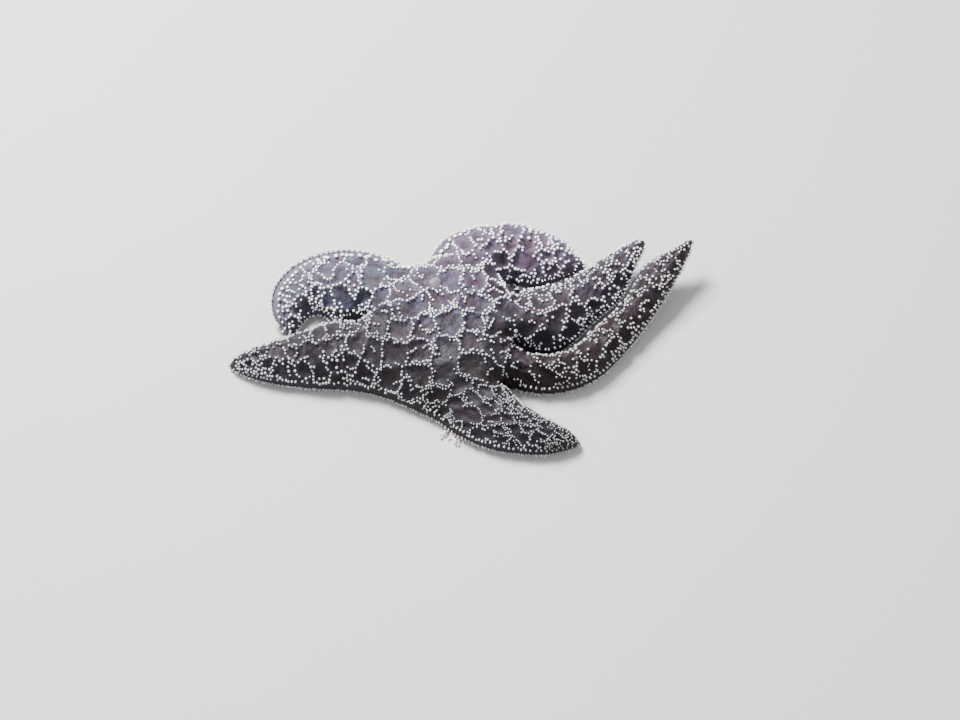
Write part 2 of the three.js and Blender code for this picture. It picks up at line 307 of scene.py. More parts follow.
def armWidth(arm, left, along):
    # The base width times (1 - share of the length to the power of fullness) to the width power,
    # plus the swelling of that edge.
    share = np.clip(along / arm["length"], 0, 1)
    swell = [size * smooth(1 - np.abs(along - middle) / reach)
             for middle, reach, size in (arm["bulgeLeft"], arm["bulgeRight"])]
    tapered = sided(arm, "width", left) * (1 - share ** arm["fullness"]) ** form["widthPower"]
    return tapered + np.where(left, *swell)


def halfWidth(arm, left, along):
    # A circle inside the corner between two arms, and past it a curve into the arm's own width.
    radius, reach, angle = (sided(arm, key, left) for key in ("corner", "reach", "angle"))
    inside = np.sqrt(np.maximum(radius ** 2 - along ** 2, 0))
    extra = radius * np.sin(angle) - armWidth(arm, left, reach)
    past = along - reach
    wide = np.clip(1 - past / np.maximum(2 * extra * np.tan(angle), 1e-6), 0, 1) ** 2
    share = np.where(extra > 0, wide, 1 - smooth(past / arm["flare"]))
    return np.where(along <= reach, inside, armWidth(arm, left, along) + extra * share)


def limitAt(arm, left, along):
    # The line halfway to the next arm, or the arm's own edge once past the corner.
    line = along * np.tan(sided(arm, "angle", left))
    return np.where(along <= sided(arm, "reach", left), line, halfWidth(arm, left, along))


def crestAt(arm, along):
    # Falls from the crest to a low tip as a power of the length, and rounds off at the very end.
    share = np.clip(along / arm["length"], 0, 1)
    fall = (1 - share ** form["crestFrom"]) ** form["crestPower"]
    crest = mix(form["tipCrest"], arm["crest"], fall)
    end = np.clip((share - form["round"]) / (1 - form["round"]), 0, 1)
    return form["margin"] + (crest - form["margin"]) * np.sqrt(1 - end ** 2)


def marginAt(arm, left, along):
    # The edge's height: the plain one, plus the side's own raise past the corner and before the tip.
    settled = smooth((along - sided(arm, "reach", left)) / form["settle"])
    ending = smooth((arm["length"] - along) / form["tipSettle"])
    return form["margin"] + sided(arm, "raise", left) * settled * ending


def liftAt(arm, along):
    # The tip's lift times the square of how far its outer part has been passed.
    share = (along / arm["length"] - form["liftFrom"]) / (1 - form["liftFrom"])
    return arm["lift"] * np.clip(share, 0, 1) ** 2


def domeAt(arm, along, out):
    # Rise above the edge: the crest's rise times (1 - across squared) to the flank's power.
    left = out >= 0
    across = np.clip(np.abs(out) / np.maximum(halfWidth(arm, left, along), 1e-9), 0, 1)
    power = mix(form["discFlank"], sided(arm, "flank", left),
                smooth((along - sided(arm, "reach", left)) / form["settle"]))
    rise = (crestAt(arm, along) - marginAt(arm, left, along)) * (1 - across ** 2) ** power
    return np.where(along > 0, rise * smooth(along / form["fadeIn"]), 0)


def neighbourDome(arm, other, radius, along, out):
    # Another arm's dome at this arm's place, which is turned by the angle between the two, inside
    # the other's corner circle.
    turn = arm["turn"] - other["turn"]
    otherAlong = along * math.cos(turn) - out * math.sin(turn)
    otherOut = along * math.sin(turn) + out * math.cos(turn)
    near = radius < sided(other, "corner", otherOut >= 0)
    return np.where(near, domeAt(other, otherAlong, otherOut), 0)


def topAt(arm, along, out):
    # The edge's height plus the fourth root of the summed fourth powers of the disc's dome, this
    # arm's and its two neighbours', plus the lift of the tip.
    left = out >= 0
    radius = np.hypot(along, out)
    leftShare = np.clip(0.5 + 0.5 * np.arctan2(out, along) / sided(arm, "angle", left), 0, 1)
    coreRadius = mix(arm["cornerRight"], arm["cornerLeft"], leftShare)
    coreShare = (1 - np.clip(radius / coreRadius, 0, 1) ** 2) ** form["discFlank"]
    core = (form["height"] - form["margin"]) * coreShare
    toLeft = smooth(leftShare) * neighbourDome(arm, arm["after"], radius, along, out)
    toRight = smooth(1 - leftShare) * neighbourDome(arm, arm["before"], radius, along, out)
    parts = [core, domeAt(arm, along, out), toLeft, toRight]
    rise = sum(part ** form["join"] for part in parts) ** (1 / form["join"])
    return marginAt(arm, left, along) + rise + liftAt(arm, along)


def grooveAt(arm, left, along, limit):
    # The groove's half width: the least of the plain one, a share of the limit and one of the width.
    inLimit = np.minimum(form["groove"], form["grooveOfLimit"] * limit)
    return np.minimum(inLimit, form["grooveOfWidth"] * halfWidth(arm, left, along))


def soleAt(arm, along, out, limit):
    # The highest of the lip towards the edge, the groove's roof and the mouth's cup.
    left = out >= 0
    width = np.maximum(halfWidth(arm, left, along), 1e-9)
    across = np.clip(np.abs(out) / width, 0, 1)
    edge = marginAt(arm, left, along)
    lip = (edge - form["lip"]) * smooth((across - form["foot"]) / (form["lipAt"] - form["foot"]))
    lip = lip + form["lip"] * np.clip((across - form["lipAt"]) / form["lipOver"], 0, 1) ** 2
    groove = np.maximum(grooveAt(arm, left, along, limit), 1e-6)
    hollow = np.sqrt(1 - np.clip(np.abs(out) / groove, 0, 1) ** 2)
    roof = form["roof"] * np.minimum(1, width / form["roofWidth"]) * hollow
    cupShare = np.clip(np.hypot(along, out) / form["mouthRadius"], 0, 1)
    cup = form["mouthDepth"] * np.sqrt(1 - cupShare ** 2)
    return np.maximum(np.maximum(lip, roof), cup) + liftAt(arm, along)


def toPoints(arm, along, out, height):
    # From the arm's own frame to the model's: step aside from the path at a right angle.
    x, y, heading = pathAt(arm, along)
    seatX, seatY = form["seat"]
    return np.stack([seatX + x - np.sin(heading) * out, seatY + y + np.cos(heading) * out,
                     np.broadcast_to(height, x.shape)], axis=-1)


# The skin: a grid over the top and one over the sole of each arm, joined along their edges.
skin = {  # millimetres
    "depth": 1.7,  # how far it lies inside the solids on top, under the spines
    "soleDepth": 1.3,
    "edgeRelief": 0.15,  # share of that depth taken off along the edges
    "edgeFrom": 0.8, "edgeOver": 0.2,  # where that sets in, as shares of the half width
    "edgeTurn": 1.6,  # distance from an edge over which the depth turns level
    "steepest": 40,  # most slope of an outline that the turn follows
    "thinFrom": 6.5,  # half width below which it lies less deep
    "topColumns": 64, "soleColumns": 24, "discRows": 54, "rowStep": 0.78, "discLength": 38,
    "crowd": 1.15, "tipCrowd": 1.35,  # powers that draw the rows together
    "grooveSteps": np.array([0, 0.4, 0.75, 0.93, 1.0]),  # columns of the sole over the groove
    "footSteps": np.array([0.1, 0.25, 0.42, 0.58, 0.72, 0.84, 0.94, 1.0]),  # and from there to the edge
    "mapRoom": 0.48, "mapEdge": 0.01, "mapWide": 40, "mapLong": 165,
    # the seams between the arms melt into each other: how wide, how far out, and how hard
    "seamWide": 9, "seamBack": 2, "seamOver": 6, "seamEdge": 0.2, "seamEdgeOver": 5, "seamHub": 3,
    "meltShare": 0.5, "meltPasses": 60,
}


def sheetOf(arm, upper):
    # Rows run from the middle to the tip, drawn together there by a power, and columns from the
    # right limit to the left. A column lies at its share of the limit, and on top at the sine of it.
    columns = skin["topColumns"] if upper else skin["soleColumns"]
    share = np.linspace(0, 1, columns + 1)[None, :]
    inward = np.linspace(0, 1, skin["discRows"] + 1)[:, None]
    rows = round((arm["length"] - skin["discLength"]) / skin["rowStep"])
    outward = np.linspace(0, 1, rows + 1)[1:, None]
    reach = mix(arm["reachRight"], arm["reachLeft"], share)
    along = np.vstack([reach * (1 - (1 - inward) ** skin["crowd"]),
                       mix(reach, arm["length"], 1 - (1 - outward) ** skin["tipCrowd"])])
    left = np.broadcast_to(share >= 0.5, along.shape)
    limit = limitAt(arm, left, along)
    u = np.broadcast_to(2 * share - 1, along.shape)
    if upper:
        spread = np.vstack([inward, np.ones_like(outward)])
        out = mix(u, np.sin(u * np.pi / 2), spread) * limit
        height = topAt(arm, along, out)
    else:
        groove = grooveAt(arm, left, along, limit)
        grooveSteps, footSteps = skin["grooveSteps"], skin["footSteps"]
        last = len(grooveSteps) - 1
        step = np.abs(np.round(u * columns / 2)).astype(int)
        inner = groove * grooveSteps[np.minimum(step, last)]
        outer = mix(groove, limit, footSteps[np.clip(step - last - 1, 0, len(footSteps) - 1)])
        out = np.sign(u) * np.where(step <= last, inner, outer)
        height = soleAt(arm, along, out, limit)
    # both sheets end at the same height along the free edges and at the tip
    free = np.zeros(along.shape, bool)
    free[skin["discRows"]:, [0, -1]] = True
    free[-1] = True
    height = np.where(free, marginAt(arm, left, along) + liftAt(arm, along), height)
    return toPoints(arm, along, out, height), along, out, limit, u


def unwrapAt(index, along, u, limit, upper):
    # Six strips side by side, the upper sides in the lower half of the map and the soles above.
    x = (index + 0.5 + skin["mapRoom"] * u * limit / skin["mapWide"]) / len(arms)
    y = skin["mapEdge"] + skin["mapRoom"] * along / skin["mapLong"]
    return np.stack([x, y if upper else y + 0.5], axis=-1)


def gridFaces(rows, columns, start, upwards):
    # Two triangles to each cell of a grid whose points are numbered row by row.
    corner = start + np.arange(rows - 1)[:, None] * columns + np.arange(columns - 1)[None, :]
    a, b, c, d = corner, corner + columns, corner + columns + 1, corner + 1
    pairs = [(a, b, c), (a, c, d)] if upwards else [(a, c, b), (a, d, c)]
    return np.concatenate([np.stack(three, axis=-1).reshape(-1, 3) for three in pairs])


def addUp(index, values, count):
    # The sum of the rows of values that have the same index, for each index.
    return np.stack([np.bincount(index, values[:, k], count) for k in range(values.shape[1])], axis=1)


def normalsOf(points, faces):
    # Each face's normal, as long as its area, summed at its corners.
    a, b, c = points[faces[:, 0]], points[faces[:, 1]], points[faces[:, 2]]
    facing = np.cross(b - a, c - a)
    total = sum(addUp(faces[:, k], facing, len(points)) for k in range(3))
    return total / np.maximum(np.linalg.norm(total, axis=1, keepdims=True), 1e-12)


def relax(values, faces, weight, passes):
    # Each pass moves a point towards the mean of its neighbours, by its own weight.
    ends = np.concatenate([faces[:, [0, 1]], faces[:, [1, 2]], faces[:, [2, 0]]])
    ends = np.concatenate([ends, ends[:, ::-1]])
    count = np.maximum(np.bincount(ends[:, 0], minlength=len(values)), 1)[:, None]
    for _ in range(passes):
        mean = addUp(ends[:, 0], values[ends[:, 1]], len(values)) / count
        values = values + (mean - values) * weight[:, None]
    return values


def buildSkin():
    # All sheets in one list. Points that agree to a thousandth of a millimetre become one, and the
    # faces that lose a corner by it are left out.
    points, faces, maps, tags, start = [], [], [], [], 0
    for index, arm in enumerate(arms):
        for upper in (True, False):
            grid, along, out, limit, u = sheetOf(arm, upper)
            rows, columns = along.shape
            faces.append(gridFaces(rows, columns, start, upper))
            maps.append(unwrapAt(index, along, u, limit, upper).reshape(-1, 2))
            points.append(grid.reshape(-1, 3))
            width = halfWidth(arm, out >= 0, along)
            across = np.clip(out / np.maximum(width, 1e-9), -1, 1)
            full = np.full_like(along, index)
            flag = np.full_like(along, upper)
            tags.append(np.stack([full, along, out, across, flag, width], axis=-1).reshape(-1, 6))
            start += rows * columns
    points, faces, maps, tags = (np.concatenate(x) for x in (points, faces, maps, tags))
    _, first, merged = np.unique(np.round(points * 1000).astype(np.int64), axis=0,
                                 return_index=True, return_inverse=True)
    joined = merged.ravel()[faces]
    whole = (joined[:, 0] != joined[:, 1]) & (joined[:, 1] != joined[:, 2]) & (joined[:, 2] != joined[:, 0])
    return points[first], joined[whole], maps[faces[whole]], tags[first]


hull, faces, skinMap, tags = buildSkin()
armOf, along, out, across, isTop, width = tags.T
armOf = armOf.astype(int)
edges = np.sort(np.concatenate([faces[:, [0, 1]], faces[:, [1, 2]], faces[:, [2, 0]]]), axis=1)
_, uses = np.unique(edges, axis=0, return_counts=True)
print("skin grid:", len(hull), "points,", len(faces), "faces,", int((uses != 2).sum()), "open edges")


def ofArms(key, armIndex):
    # The arms' own value under this key, looked up for each of the given arm numbers.
    return np.array([arm[key] for arm in arms])[armIndex]


lengths = ofArms("length", armOf)
reachHere = np.where(out >= 0, ofArms("reachLeft", armOf), ofArms("reachRight", armOf))
angleHere = np.where(out >= 0, ofArms("angleLeft", armOf), ofArms("angleRight", armOf))
fromEdge = width - np.abs(out)


def levelled(normals):
    # Near the free edges the normal turns, as a smooth step of the distance, to the level direction
    # that stands at a right angle to the outline: across the path, less the width's slope times ahead.
    side = np.where(out >= 0, 1.0, -1.0)
    level = np.zeros_like(normals)
    step = 0.05
    for index, arm in enumerate(arms):
        here = armOf == index
        ahead, behind = (halfWidth(arm, out[here] >= 0, along[here] + shift) for shift in (step, -step))
        slope = np.clip((ahead - behind) / (2 * step), -skin["steepest"], skin["steepest"])
        heading = pathAt(arm, along[here])[2]
        level[here, 0] = -side[here] * np.sin(heading) - slope * np.cos(heading)
        level[here, 1] = side[here] * np.cos(heading) - slope * np.sin(heading)
    level = level / np.maximum(np.linalg.norm(level, axis=1, keepdims=True), 1e-9)
    gap = np.minimum(fromEdge, lengths - along)
    turned = mix(normals, level, smooth(1 - gap / skin["edgeTurn"])[:, None])
    return turned / np.maximum(np.linalg.norm(turned, axis=1, keepdims=True), 1e-9)


# how near the line between two arms a point lies: its distance from the middle times the angle left
fromSeam = np.hypot(along, out) * np.abs(angleHere - np.abs(np.arctan2(out, along)))
seam = 1 - smooth(fromSeam / skin["seamWide"])
seam = seam * (1 - smooth((along - reachHere + skin["seamBack"]) / skin["seamOver"])) * isTop
seam = seam * smooth((fromEdge - skin["seamEdge"]) / skin["seamEdgeOver"])
hull = relax(hull, faces, skin["meltShare"] * seam * (np.hypot(along, out) > skin["seamHub"]),
             skin["meltPasses"])
outward = levelled(normalsOf(hull, faces))
thin = np.clip(width / skin["thinFrom"], 0, 1)
depth = np.where(isTop > 0, skin["depth"], skin["soleDepth"]) * thin
relief = smooth((np.abs(across) - skin["edgeFrom"]) / skin["edgeOver"])
depth = depth * (1 - skin["edgeRelief"] * relief * isTop)
bare = hull - outward * depth[:, None]
print("skin laid inside the solids")


# The network of ridges on the skin: the borders between cells around spaced seeds.
network = {  # millimetres
    "cell": 10.5, "armCell": 8.2, "tipCell": 5.0,  # least distance between the middles of cells
    "armFrom": 30, "armOver": 30, "tipFrom": 0.55, "tipOver": 0.45,  # where the second and third hold
    "candidates": 9000,
    "wander": 1.5, "wanderSize": 10.0, "wanderSeed": 40, "zigzag": 0.75, "zigzagSize": 3.8,
    "zigzagSeed": 50,
    "ridge": 0.7, "ridgeHalf": 1.9, "hollow": 0.85, "hollowFrom": 0.8, "hollowHalf": 3.6,
    "missing": 0.16,  # share of borders that are left out
    "salt": 1.0, "spurSalt": 2.0,  # shuffle which ones those are
    "spurCell": 4.8, "spurMissing": 0.82, "spurRidge": 0.3, "spurHalf": 1.0,
    "ownFrom": 34, "easeIn": 12.0,  # where an arm's own pattern starts, and how fast it sets in
    "lowSide": -54, "lowOver": 30, "nearShare": 0.68,  # the cells are smaller on the low side
    "stripAt": 0.97, "stripSoft": 0.03, "stripBack": 4, "stripOver": 10,
    "fadeOver": 2.5,  # distance from an edge over which the relief sets in
    "lumps": 0.14, "lumpSize": 4.0, "wrinkles": 0.08, "wrinkleSize": 2.2,
}
perArm = {  # a number for each arm
    "ringing": np.array([0.9, 0.0, 0.2, 0.45, 0.5, 0.5]),  # how much closer the cells lie along it
    "streaking": np.array([0.0, 2.1, 0.2, 0.0, 0.0, 0.0]),  # and how much closer across it
    # how dry and lit each arm is: partly its dry skin, partly painted light, low where it lies in painted
    # shade
    "dryAndLit": np.array([0.2, 0.2, 0.15, 0.35, 0.9, 0.85]),
    "tone": np.array([0.0, 0.0, -0.2, -0.1, -0.45, 0.1]),
    "red": np.array([0.0, 0.1, 1.0, 0.25, 0.15, 0.0]),
    "redTip": np.array([0.0, 0.0, 0.0, 0.5, 0.0, 0.0]),
    # how wide a bare strip runs along each edge, as a share of the half width
    "stripLeft": np.array([0.0, 0.0, 0.16, 0.28, 0.34, 0.0]),
    "stripRight": np.array([0.12, 0.0, 0.0, 0.0, 0.0, 0.34]),
}


def waves(points, size, seed, count=10, most=1.6):
    # A smooth random field from -1 to 1: sine waves of random directions and starts, summed over the
    # root of their number and cut off at the most they may reach.
    draw = np.random.default_rng(seed)
    way = draw.normal(size=(count, 3))
    spread = draw.uniform(0.6, 1.5, (count, 1))
    way *= (2 * np.pi / size) * spread / np.linalg.norm(way, axis=1, keepdims=True)
    start = draw.uniform(0, 2 * np.pi, count)
    return np.clip(np.sin(points @ way.T + start).sum(axis=1) / math.sqrt(count), -most, most) / most


def wavesAllWays(points, size, seed):
    # Three such fields, one for each direction.
    return np.stack([waves(points, size, seed + k) for k in range(3)], axis=1)


def unroll(points, armIndex, along, out):
    # Five coordinates in which plain distance measures the pattern: the place, wandering a little,
    # with two more that draw points apart along or across an arm.
    wander = wavesAllWays(points, network["wanderSize"], network["wanderSeed"])
    zigzag = wavesAllWays(points, network["zigzagSize"], network["zigzagSeed"])
    past = np.maximum(along - network["ownFrom"], 0)
    ease = past / (past + network["easeIn"])
    spots = points + network["wander"] * wander + network["zigzag"] * zigzag
    return np.column_stack([spots, perArm["ringing"][armIndex] * past * ease,
                            perArm["streaking"][armIndex] * out * ease])


def highSide(points):
    # A smooth step from 0 on the low side of the disc to 1 over the rest.
    return smooth((points[:, 1] - network["lowSide"]) / network["lowOver"])


def spacedSeeds(spots, apart, draw):
    # In a random order, each seed keeps its own distance free around it.
    free, kept = np.ones(len(spots), bool), []
    for i in draw.permutation(len(spots)):
        if free[i]:
            kept.append(i)
            free &= ((spots - spots[i]) ** 2).sum(axis=1) > apart[i] ** 2
    return np.array(kept)


def chanceOf(low, high, salt):
    # A number from 0 to 1 that looks random and hangs only on the two cells: the fraction of a
    # great multiple of the sine of their numbers.
    return np.modf(np.abs(np.sin(low * 12.9898 + high * 78.233 + salt)) * 43758.5453)[0]


def borders(spots, seeds, missing, salt, atOnce=20000):
    # For each point: distances to the borders of its cell with the three next nearest seeds, from
    # (d2 - d1) / twice the seeds' distance with squared d, and whether each border is there.
    distance, strength, cell = [], [], []
    for part in np.array_split(spots, max(1, len(spots) // atOnce)):
        square = (part ** 2).sum(axis=1)[:, None] + (seeds ** 2).sum(axis=1)[None, :] - 2 * part @ seeds.T
        near = np.argpartition(square, 4, axis=1)[:, :4]
        near = np.take_along_axis(near, np.argsort(np.take_along_axis(square, near, 1), axis=1), 1)
        square = np.take_along_axis(square, near, 1)
        own, others = near[:, :1], near[:, 1:]
        between = np.linalg.norm(seeds[others] - seeds[own], axis=2)
        distance.append((square[:, 1:] - square[:, :1]) / (2 * between))
        chance = chanceOf(np.minimum(own, others), np.maximum(own, others), salt)
        strength.append(np.where(chance > missing, chance, 0))
        cell.append(near[:, 0])
    return np.concatenate(distance), np.concatenate(strength), np.concatenate(cell)


def cellBorders(spots):
    # The borders of the large cells.
    return borders(spots, seeds, network["missing"], network["salt"])


def spurBorders(spots):
    # The few borders of the small cells, which give the short spurs.
    return borders(spots, spurSeeds, network["spurMissing"], network["spurSalt"])


def ridgeHeight(distance, strength, half):
    # The highest of the three borders' ridges, each a smooth bank of the given half width.
    return ((1 - smooth(distance / half)) * (strength > 0)).max(axis=1)


draw = np.random.default_rng(7)
top = np.flatnonzero(isTop > 0)
spots = unroll(bare, armOf, along, out)
toTip = np.clip(along / lengths, 0, 1)
apart = mix(network["cell"], network["armCell"], smooth((along - network["armFrom"]) / network["armOver"]))
apart = mix(apart, network["tipCell"], smooth((toTip - network["tipFrom"]) / network["tipOver"]))
apart = apart * mix(network["nearShare"], 1.0, highSide(bare))
candidates = draw.choice(top, network["candidates"], replace=False)
seeds = spots[candidates[spacedSeeds(spots[candidates], apart[candidates], draw)]]
spurRoom = apart[candidates] * network["spurCell"] / network["cell"]
spurSeeds = spots[candidates[spacedSeeds(spots[candidates], spurRoom, draw)]]
print("network of", len(seeds), "cells and", len(spurSeeds), "small ones")

rim, wall, cell = cellBorders(spots)
spurRim, spurWall, _ = spurBorders(spots)
rimNearest = rim.min(axis=1)
bank = ridgeHeight(rim, wall, network["ridgeHalf"])
spurBank = ridgeHeight(spurRim, spurWall, network["spurHalf"])
stripHere = np.where(out >= 0, perArm["stripLeft"][armOf], perArm["stripRight"][armOf])
stripHere = stripHere * smooth((along - reachHere + network["stripBack"]) / network["stripOver"])
strip = isTop * smooth((np.abs(across) - (network["stripAt"] - stripHere)) / network["stripSoft"])
strip = strip * (stripHere > network["stripSoft"])
fade = isTop * smooth(fromEdge / network["fadeOver"]) * thin
hollow = smooth((rimNearest - network["hollowFrom"]) / network["hollowHalf"])
rise = network["ridge"] * bank + network["spurRidge"] * spurBank - network["hollow"] * hollow
rise = (fade * (1 - strip) * rise + network["lumps"] * fade * waves(bare, network["lumpSize"], 60)
        + network["wrinkles"] * waves(bare, network["wrinkleSize"], 61))
body = bare + outward * rise[:, None]
bodyOut = normalsOf(body, faces)

# Where the skin's colours lie: millimetres, or shares of an arm at its tip. The far arms are dry and
# pale, the near ones wet and dark, and over both lies painted light: the light field rises towards the
# back of the model, so the far arms get painted light and the near ones painted shade.
patches = {
    "size": 16.0, "cellShare": 0.35, "toneFrom": 18, "toneOver": 26, "redFrom": 26, "redOver": 22,
    "redTipFrom": 0.6, "redTipOver": 0.3, "dryAndLitFrom": 10, "dryAndLitOver": 26, "lightFrom": -34,
    "lightOver": 96, "clouds": 0.08, "cloudSize": 24.0, "blur": 0.5, "blurPasses": 24,
}
tone = (0.5 + 0.5 * waves(bare, patches["size"], 62)
        + patches["cellShare"] * (draw.uniform(-1, 1, len(seeds))[cell]))
tone = tone + perArm["tone"][armOf] * smooth((along - patches["toneFrom"]) / patches["toneOver"])
redness = perArm["red"][armOf] * smooth((along - patches["redFrom"]) / patches["redOver"])
redTip = smooth((toTip - patches["redTipFrom"]) / patches["redTipOver"])
redness = np.maximum(redness, perArm["redTip"][armOf] * redTip)
# The light field: a rise towards the back of the model times each arm's dryness, with clouds. It paints light
# on the far arms and shade on the near ones, over their wet and dry skin.
dryAndLit = mix(1.0, perArm["dryAndLit"][armOf], smooth((along - patches["dryAndLitFrom"]) / patches["dryAndLitOver"]))
light = np.clip((bare[:, 1] - patches["lightFrom"]) / patches["lightOver"], 0, 1) * dryAndLit
light = light + patches["clouds"] * waves(bare, patches["cloudSize"], 63)
shared = relax(np.column_stack([tone, redness, light, strip]), faces, np.full(len(body), patches["blur"]),
               patches["blurPasses"])
tone, redness, light, strip = np.clip(shared, 0, 1).T

skinLook = {
    # The first four colours are the wet skin, darkened further as painted shade; the next four are the dry
    # skin, lightened as painted light.
    "plum": (0.0125, 0.0080, 0.0098), "slate": (0.0155, 0.0162, 0.0190), "brown": (0.0155, 0.0088, 0.0080),
    "ridge": (0.025, 0.0225, 0.028), "lilac": (0.116, 0.075, 0.122), "greyBlue": (0.064, 0.077, 0.120),
    "maroon": (0.040, 0.020, 0.028), "ridgeDryLit": (0.138, 0.126, 0.170), "red": (0.0145, 0.0072, 0.0090),
    "strip": (0.098, 0.090, 0.118), "under": (0.250, 0.185, 0.140), "speck": (0.20, 0.18, 0.21),
    "fine": 900, "coarse": 150, "specks": 1300, "grain": 2600, "pits": 1100,  # to a metre
    "rough": (0.46, 0.62), "shine": 0.14,
}


def skinFinish():
    # A wet colour in painted shade and a dry one in painted light, each a blend of two by tone with a
    # third in the hollows and a fourth on the ridges, blended by the light field. Over them the red,
    # less of it where the light field is high, the bare strip, the sole and fine specks, more of them
    # where the light field is high.
    f = Finish("skin")
    names = ("ridge", "hollow", "tone", "red", "light", "strip", "under")
    ridge, hollow, tone, red, light, strip, under = (f.field(n) for n in names)
    fine, coarse = f.noise(skinLook["fine"], 4.0, 0.6), f.noise(skinLook["coarse"], 3.0, 0.55, 0.4)
    mottle = f.ramp(coarse, 0.35, 0.65)
    wetShaded = f.blend(tone, skinLook["plum"], skinLook["slate"])
    wetShaded = f.blend(hollow * mottle * 0.8, wetShaded, skinLook["brown"])
    wetShaded = f.blend(ridge * f.ramp(fine, 0.3, 0.7, (0.3, 1.0)), wetShaded, skinLook["ridge"])
    dryLit = f.blend(tone, skinLook["lilac"], skinLook["greyBlue"])
    dryLit = f.blend(hollow * f.ramp(coarse, 0.3, 0.6), dryLit, skinLook["maroon"])
    dryLit = f.blend(ridge * f.ramp(fine, 0.3, 0.7, (0.3, 1.0)), dryLit, skinLook["ridgeDryLit"])
    colour = f.blend(light, wetShaded, dryLit)
    colour = f.blend(red * f.ramp(light, 0.0, 1.0, (0.75, 0.6)), colour, skinLook["red"])
    colour = f.blend(strip * 0.75, colour, skinLook["strip"])
    colour = f.blend(under, colour, skinLook["under"])
    speck = f.ramp(f.cells(skinLook["specks"]), 0.16, 0.30, (1.0, 0.0))
    colour = f.blend(speck * f.ramp(light, 0.0, 1.0, (0.05, 0.12)), colour, skinLook["speck"])
    rough = f.ramp(coarse, 0.3, 0.7, skinLook["rough"])
    grain = f.bump(f.noise(skinLook["grain"], 2.0), 0.25, 0.0002)
    pits = f.bump(f.cells(skinLook["pits"], "SMOOTH_F1"), 0.35, 0.0004, grain)
    return f.surface({"Base Color": colour, "Roughness": rough, "Normal": pits,
                      "Specular IOR Level": skinLook["shine"]})


skinFields = {"ridge": np.maximum(bank, 0.6 * spurBank) * fade, "hollow": hollow * fade, "tone": tone,
              "red": redness, "light": light, "strip": strip, "under": 1 - isTop}
skinPiece = makePiece("skin", body, faces, skinFinish(), skinFields, skinMap)
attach(skinPiece, "root")
flesh = ["disc"] + [f"arm_{n}_{part}" for n in range(1, 7) for part in ("inner", "outer")]
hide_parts(*flesh)
print("skin piece has", len(faces), "faces")


# Things strewn over the skin: one small turned shape, repeated with its own place and size.
def tubeFaces(rings, sides):
    # A tube of rings of points, closed by fans around two more points that come after them all.
    k, j = np.meshgrid(np.arange(rings - 1), np.arange(sides), indexing="ij")
    a, b = k * sides + j, k * sides + (j + 1) % sides
    j, last, count = np.arange(sides), (rings - 1) * sides, rings * sides
    return np.concatenate([np.stack([a, b, b + sides], -1).reshape(-1, 3),
                           np.stack([a, b + sides, a + sides], -1).reshape(-1, 3),
                           np.stack([(j + 1) % sides, j, np.full(sides, count)], -1),
                           np.stack([last + j, last + (j + 1) % sides, np.full(sides, count + 1)], -1)])


def turned(profile, sides):
    # A profile of (radius, height) pairs turned about its axis, closed by a point at each end.
    angle = 2 * np.pi * np.arange(sides) / sides
    radius, height = np.array(profile, float).T
    ring = np.stack([radius[:, None] * np.cos(angle), radius[:, None] * np.sin(angle),
                     np.broadcast_to(height[:, None], (len(radius), sides))], axis=-1).reshape(-1, 3)
    points = np.vstack([ring, [0, 0, height[0]], [0, 0, height[-1] + 0.25 * radius[-1]]])
    return points, tubeFaces(len(radius), sides)


def repeated(oneFaces, count, size):
    # The faces of one shape for each of its copies, whose points are numbered size further on.
    return (oneFaces[None] + (np.arange(count) * size)[:, None, None]).reshape(-1, 3)


def unit(v):
    # A vector over its length.
    return v / np.maximum(np.linalg.norm(v, axis=-1, keepdims=True), 1e-12)


def sideAndAcross(axis):
    # Two directions at right angles to the axis and to each other.
    side = unit(np.cross(axis, np.array([0.3, 0.9, 0.2])))
    return side, np.cross(axis, side)


aboveFloor = 0.02  # millimetres
patchOnMap = 0.0015  # radius of each copy's patch of the map
down = np.array([0.0, 0.0, -1.0])


def strew(name, template, roots, axes, wide, tall, roomOnMap, material, fields=None):
    # Each copy is the template times its width across its axis and its height along it, and none of
    # it goes below the floor. On the map it is a small disc, seen along its axis.
    shape, shapeFaces = template
    side, across = sideAndAcross(axes)
    share = np.clip(shape[:, 2] / shape[:, 2].max(), 0, 1)
    points = (roots[:, None, :] + side[:, None, :] * (shape[None, :, :1] * wide[:, None, None])
              + across[:, None, :] * (shape[None, :, 1:2] * wide[:, None, None])
              + axes[:, None, :] * (shape[None, :, 2:] * tall[:, None, None]))
    points[..., 2] = np.maximum(points[..., 2], aboveFloor)
    count = len(roots)
    allFaces = repeated(shapeFaces, count, len(shape))
    spin = np.arctan2(shape[:, 1], shape[:, 0])
    reach = patchOnMap * (1 - 0.9 * share)
    patch = np.stack([reach * np.cos(spin), reach * np.sin(spin)], axis=-1)
    onMap = (roomOnMap[:, None, :] + patch[None]).reshape(-1, 2)[allFaces]
    every = {"tip": np.tile(share, count)}
    every.update({key: np.repeat(values, len(shape)) for key, values in (fields or {}).items()})
    piece = makePiece(name, points.reshape(-1, 3), allFaces, material, every, onMap)
    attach(piece, "root")
    print(name, "has", count, "parts and", len(allFaces), "faces")


def scatter(count, chosen, draw):
    # Points spread by area over the chosen faces: the face of each and its three corner weights,
    # which are 1 - r, r (1 - t) and r t for r the root of a random number and t another.
    a, b, c = (body[faces[chosen, k]] for k in range(3))
    area = np.linalg.norm(np.cross(b - a, c - a), axis=1)
    face = chosen[draw.choice(len(chosen), count, p=area / area.sum())]
    r, t = np.sqrt(draw.random(count)), draw.random(count)
    return face, np.stack([1 - r, r * (1 - t), r * t], axis=1)


def onSkin(values, face, weight):
    # The values at a face's corners, summed by their weights.
    return np.einsum("nk,nk...->n...", weight, values[faces[face]])


def onMap(face, weight):
    # The map's places at a face's corners, summed by their weights.
    return np.einsum("nk,nkd->nd", weight, skinMap[face])


def roomFor(points, room):
    # The points with the room that others must leave around each.
    return [(point, room) for point in points]


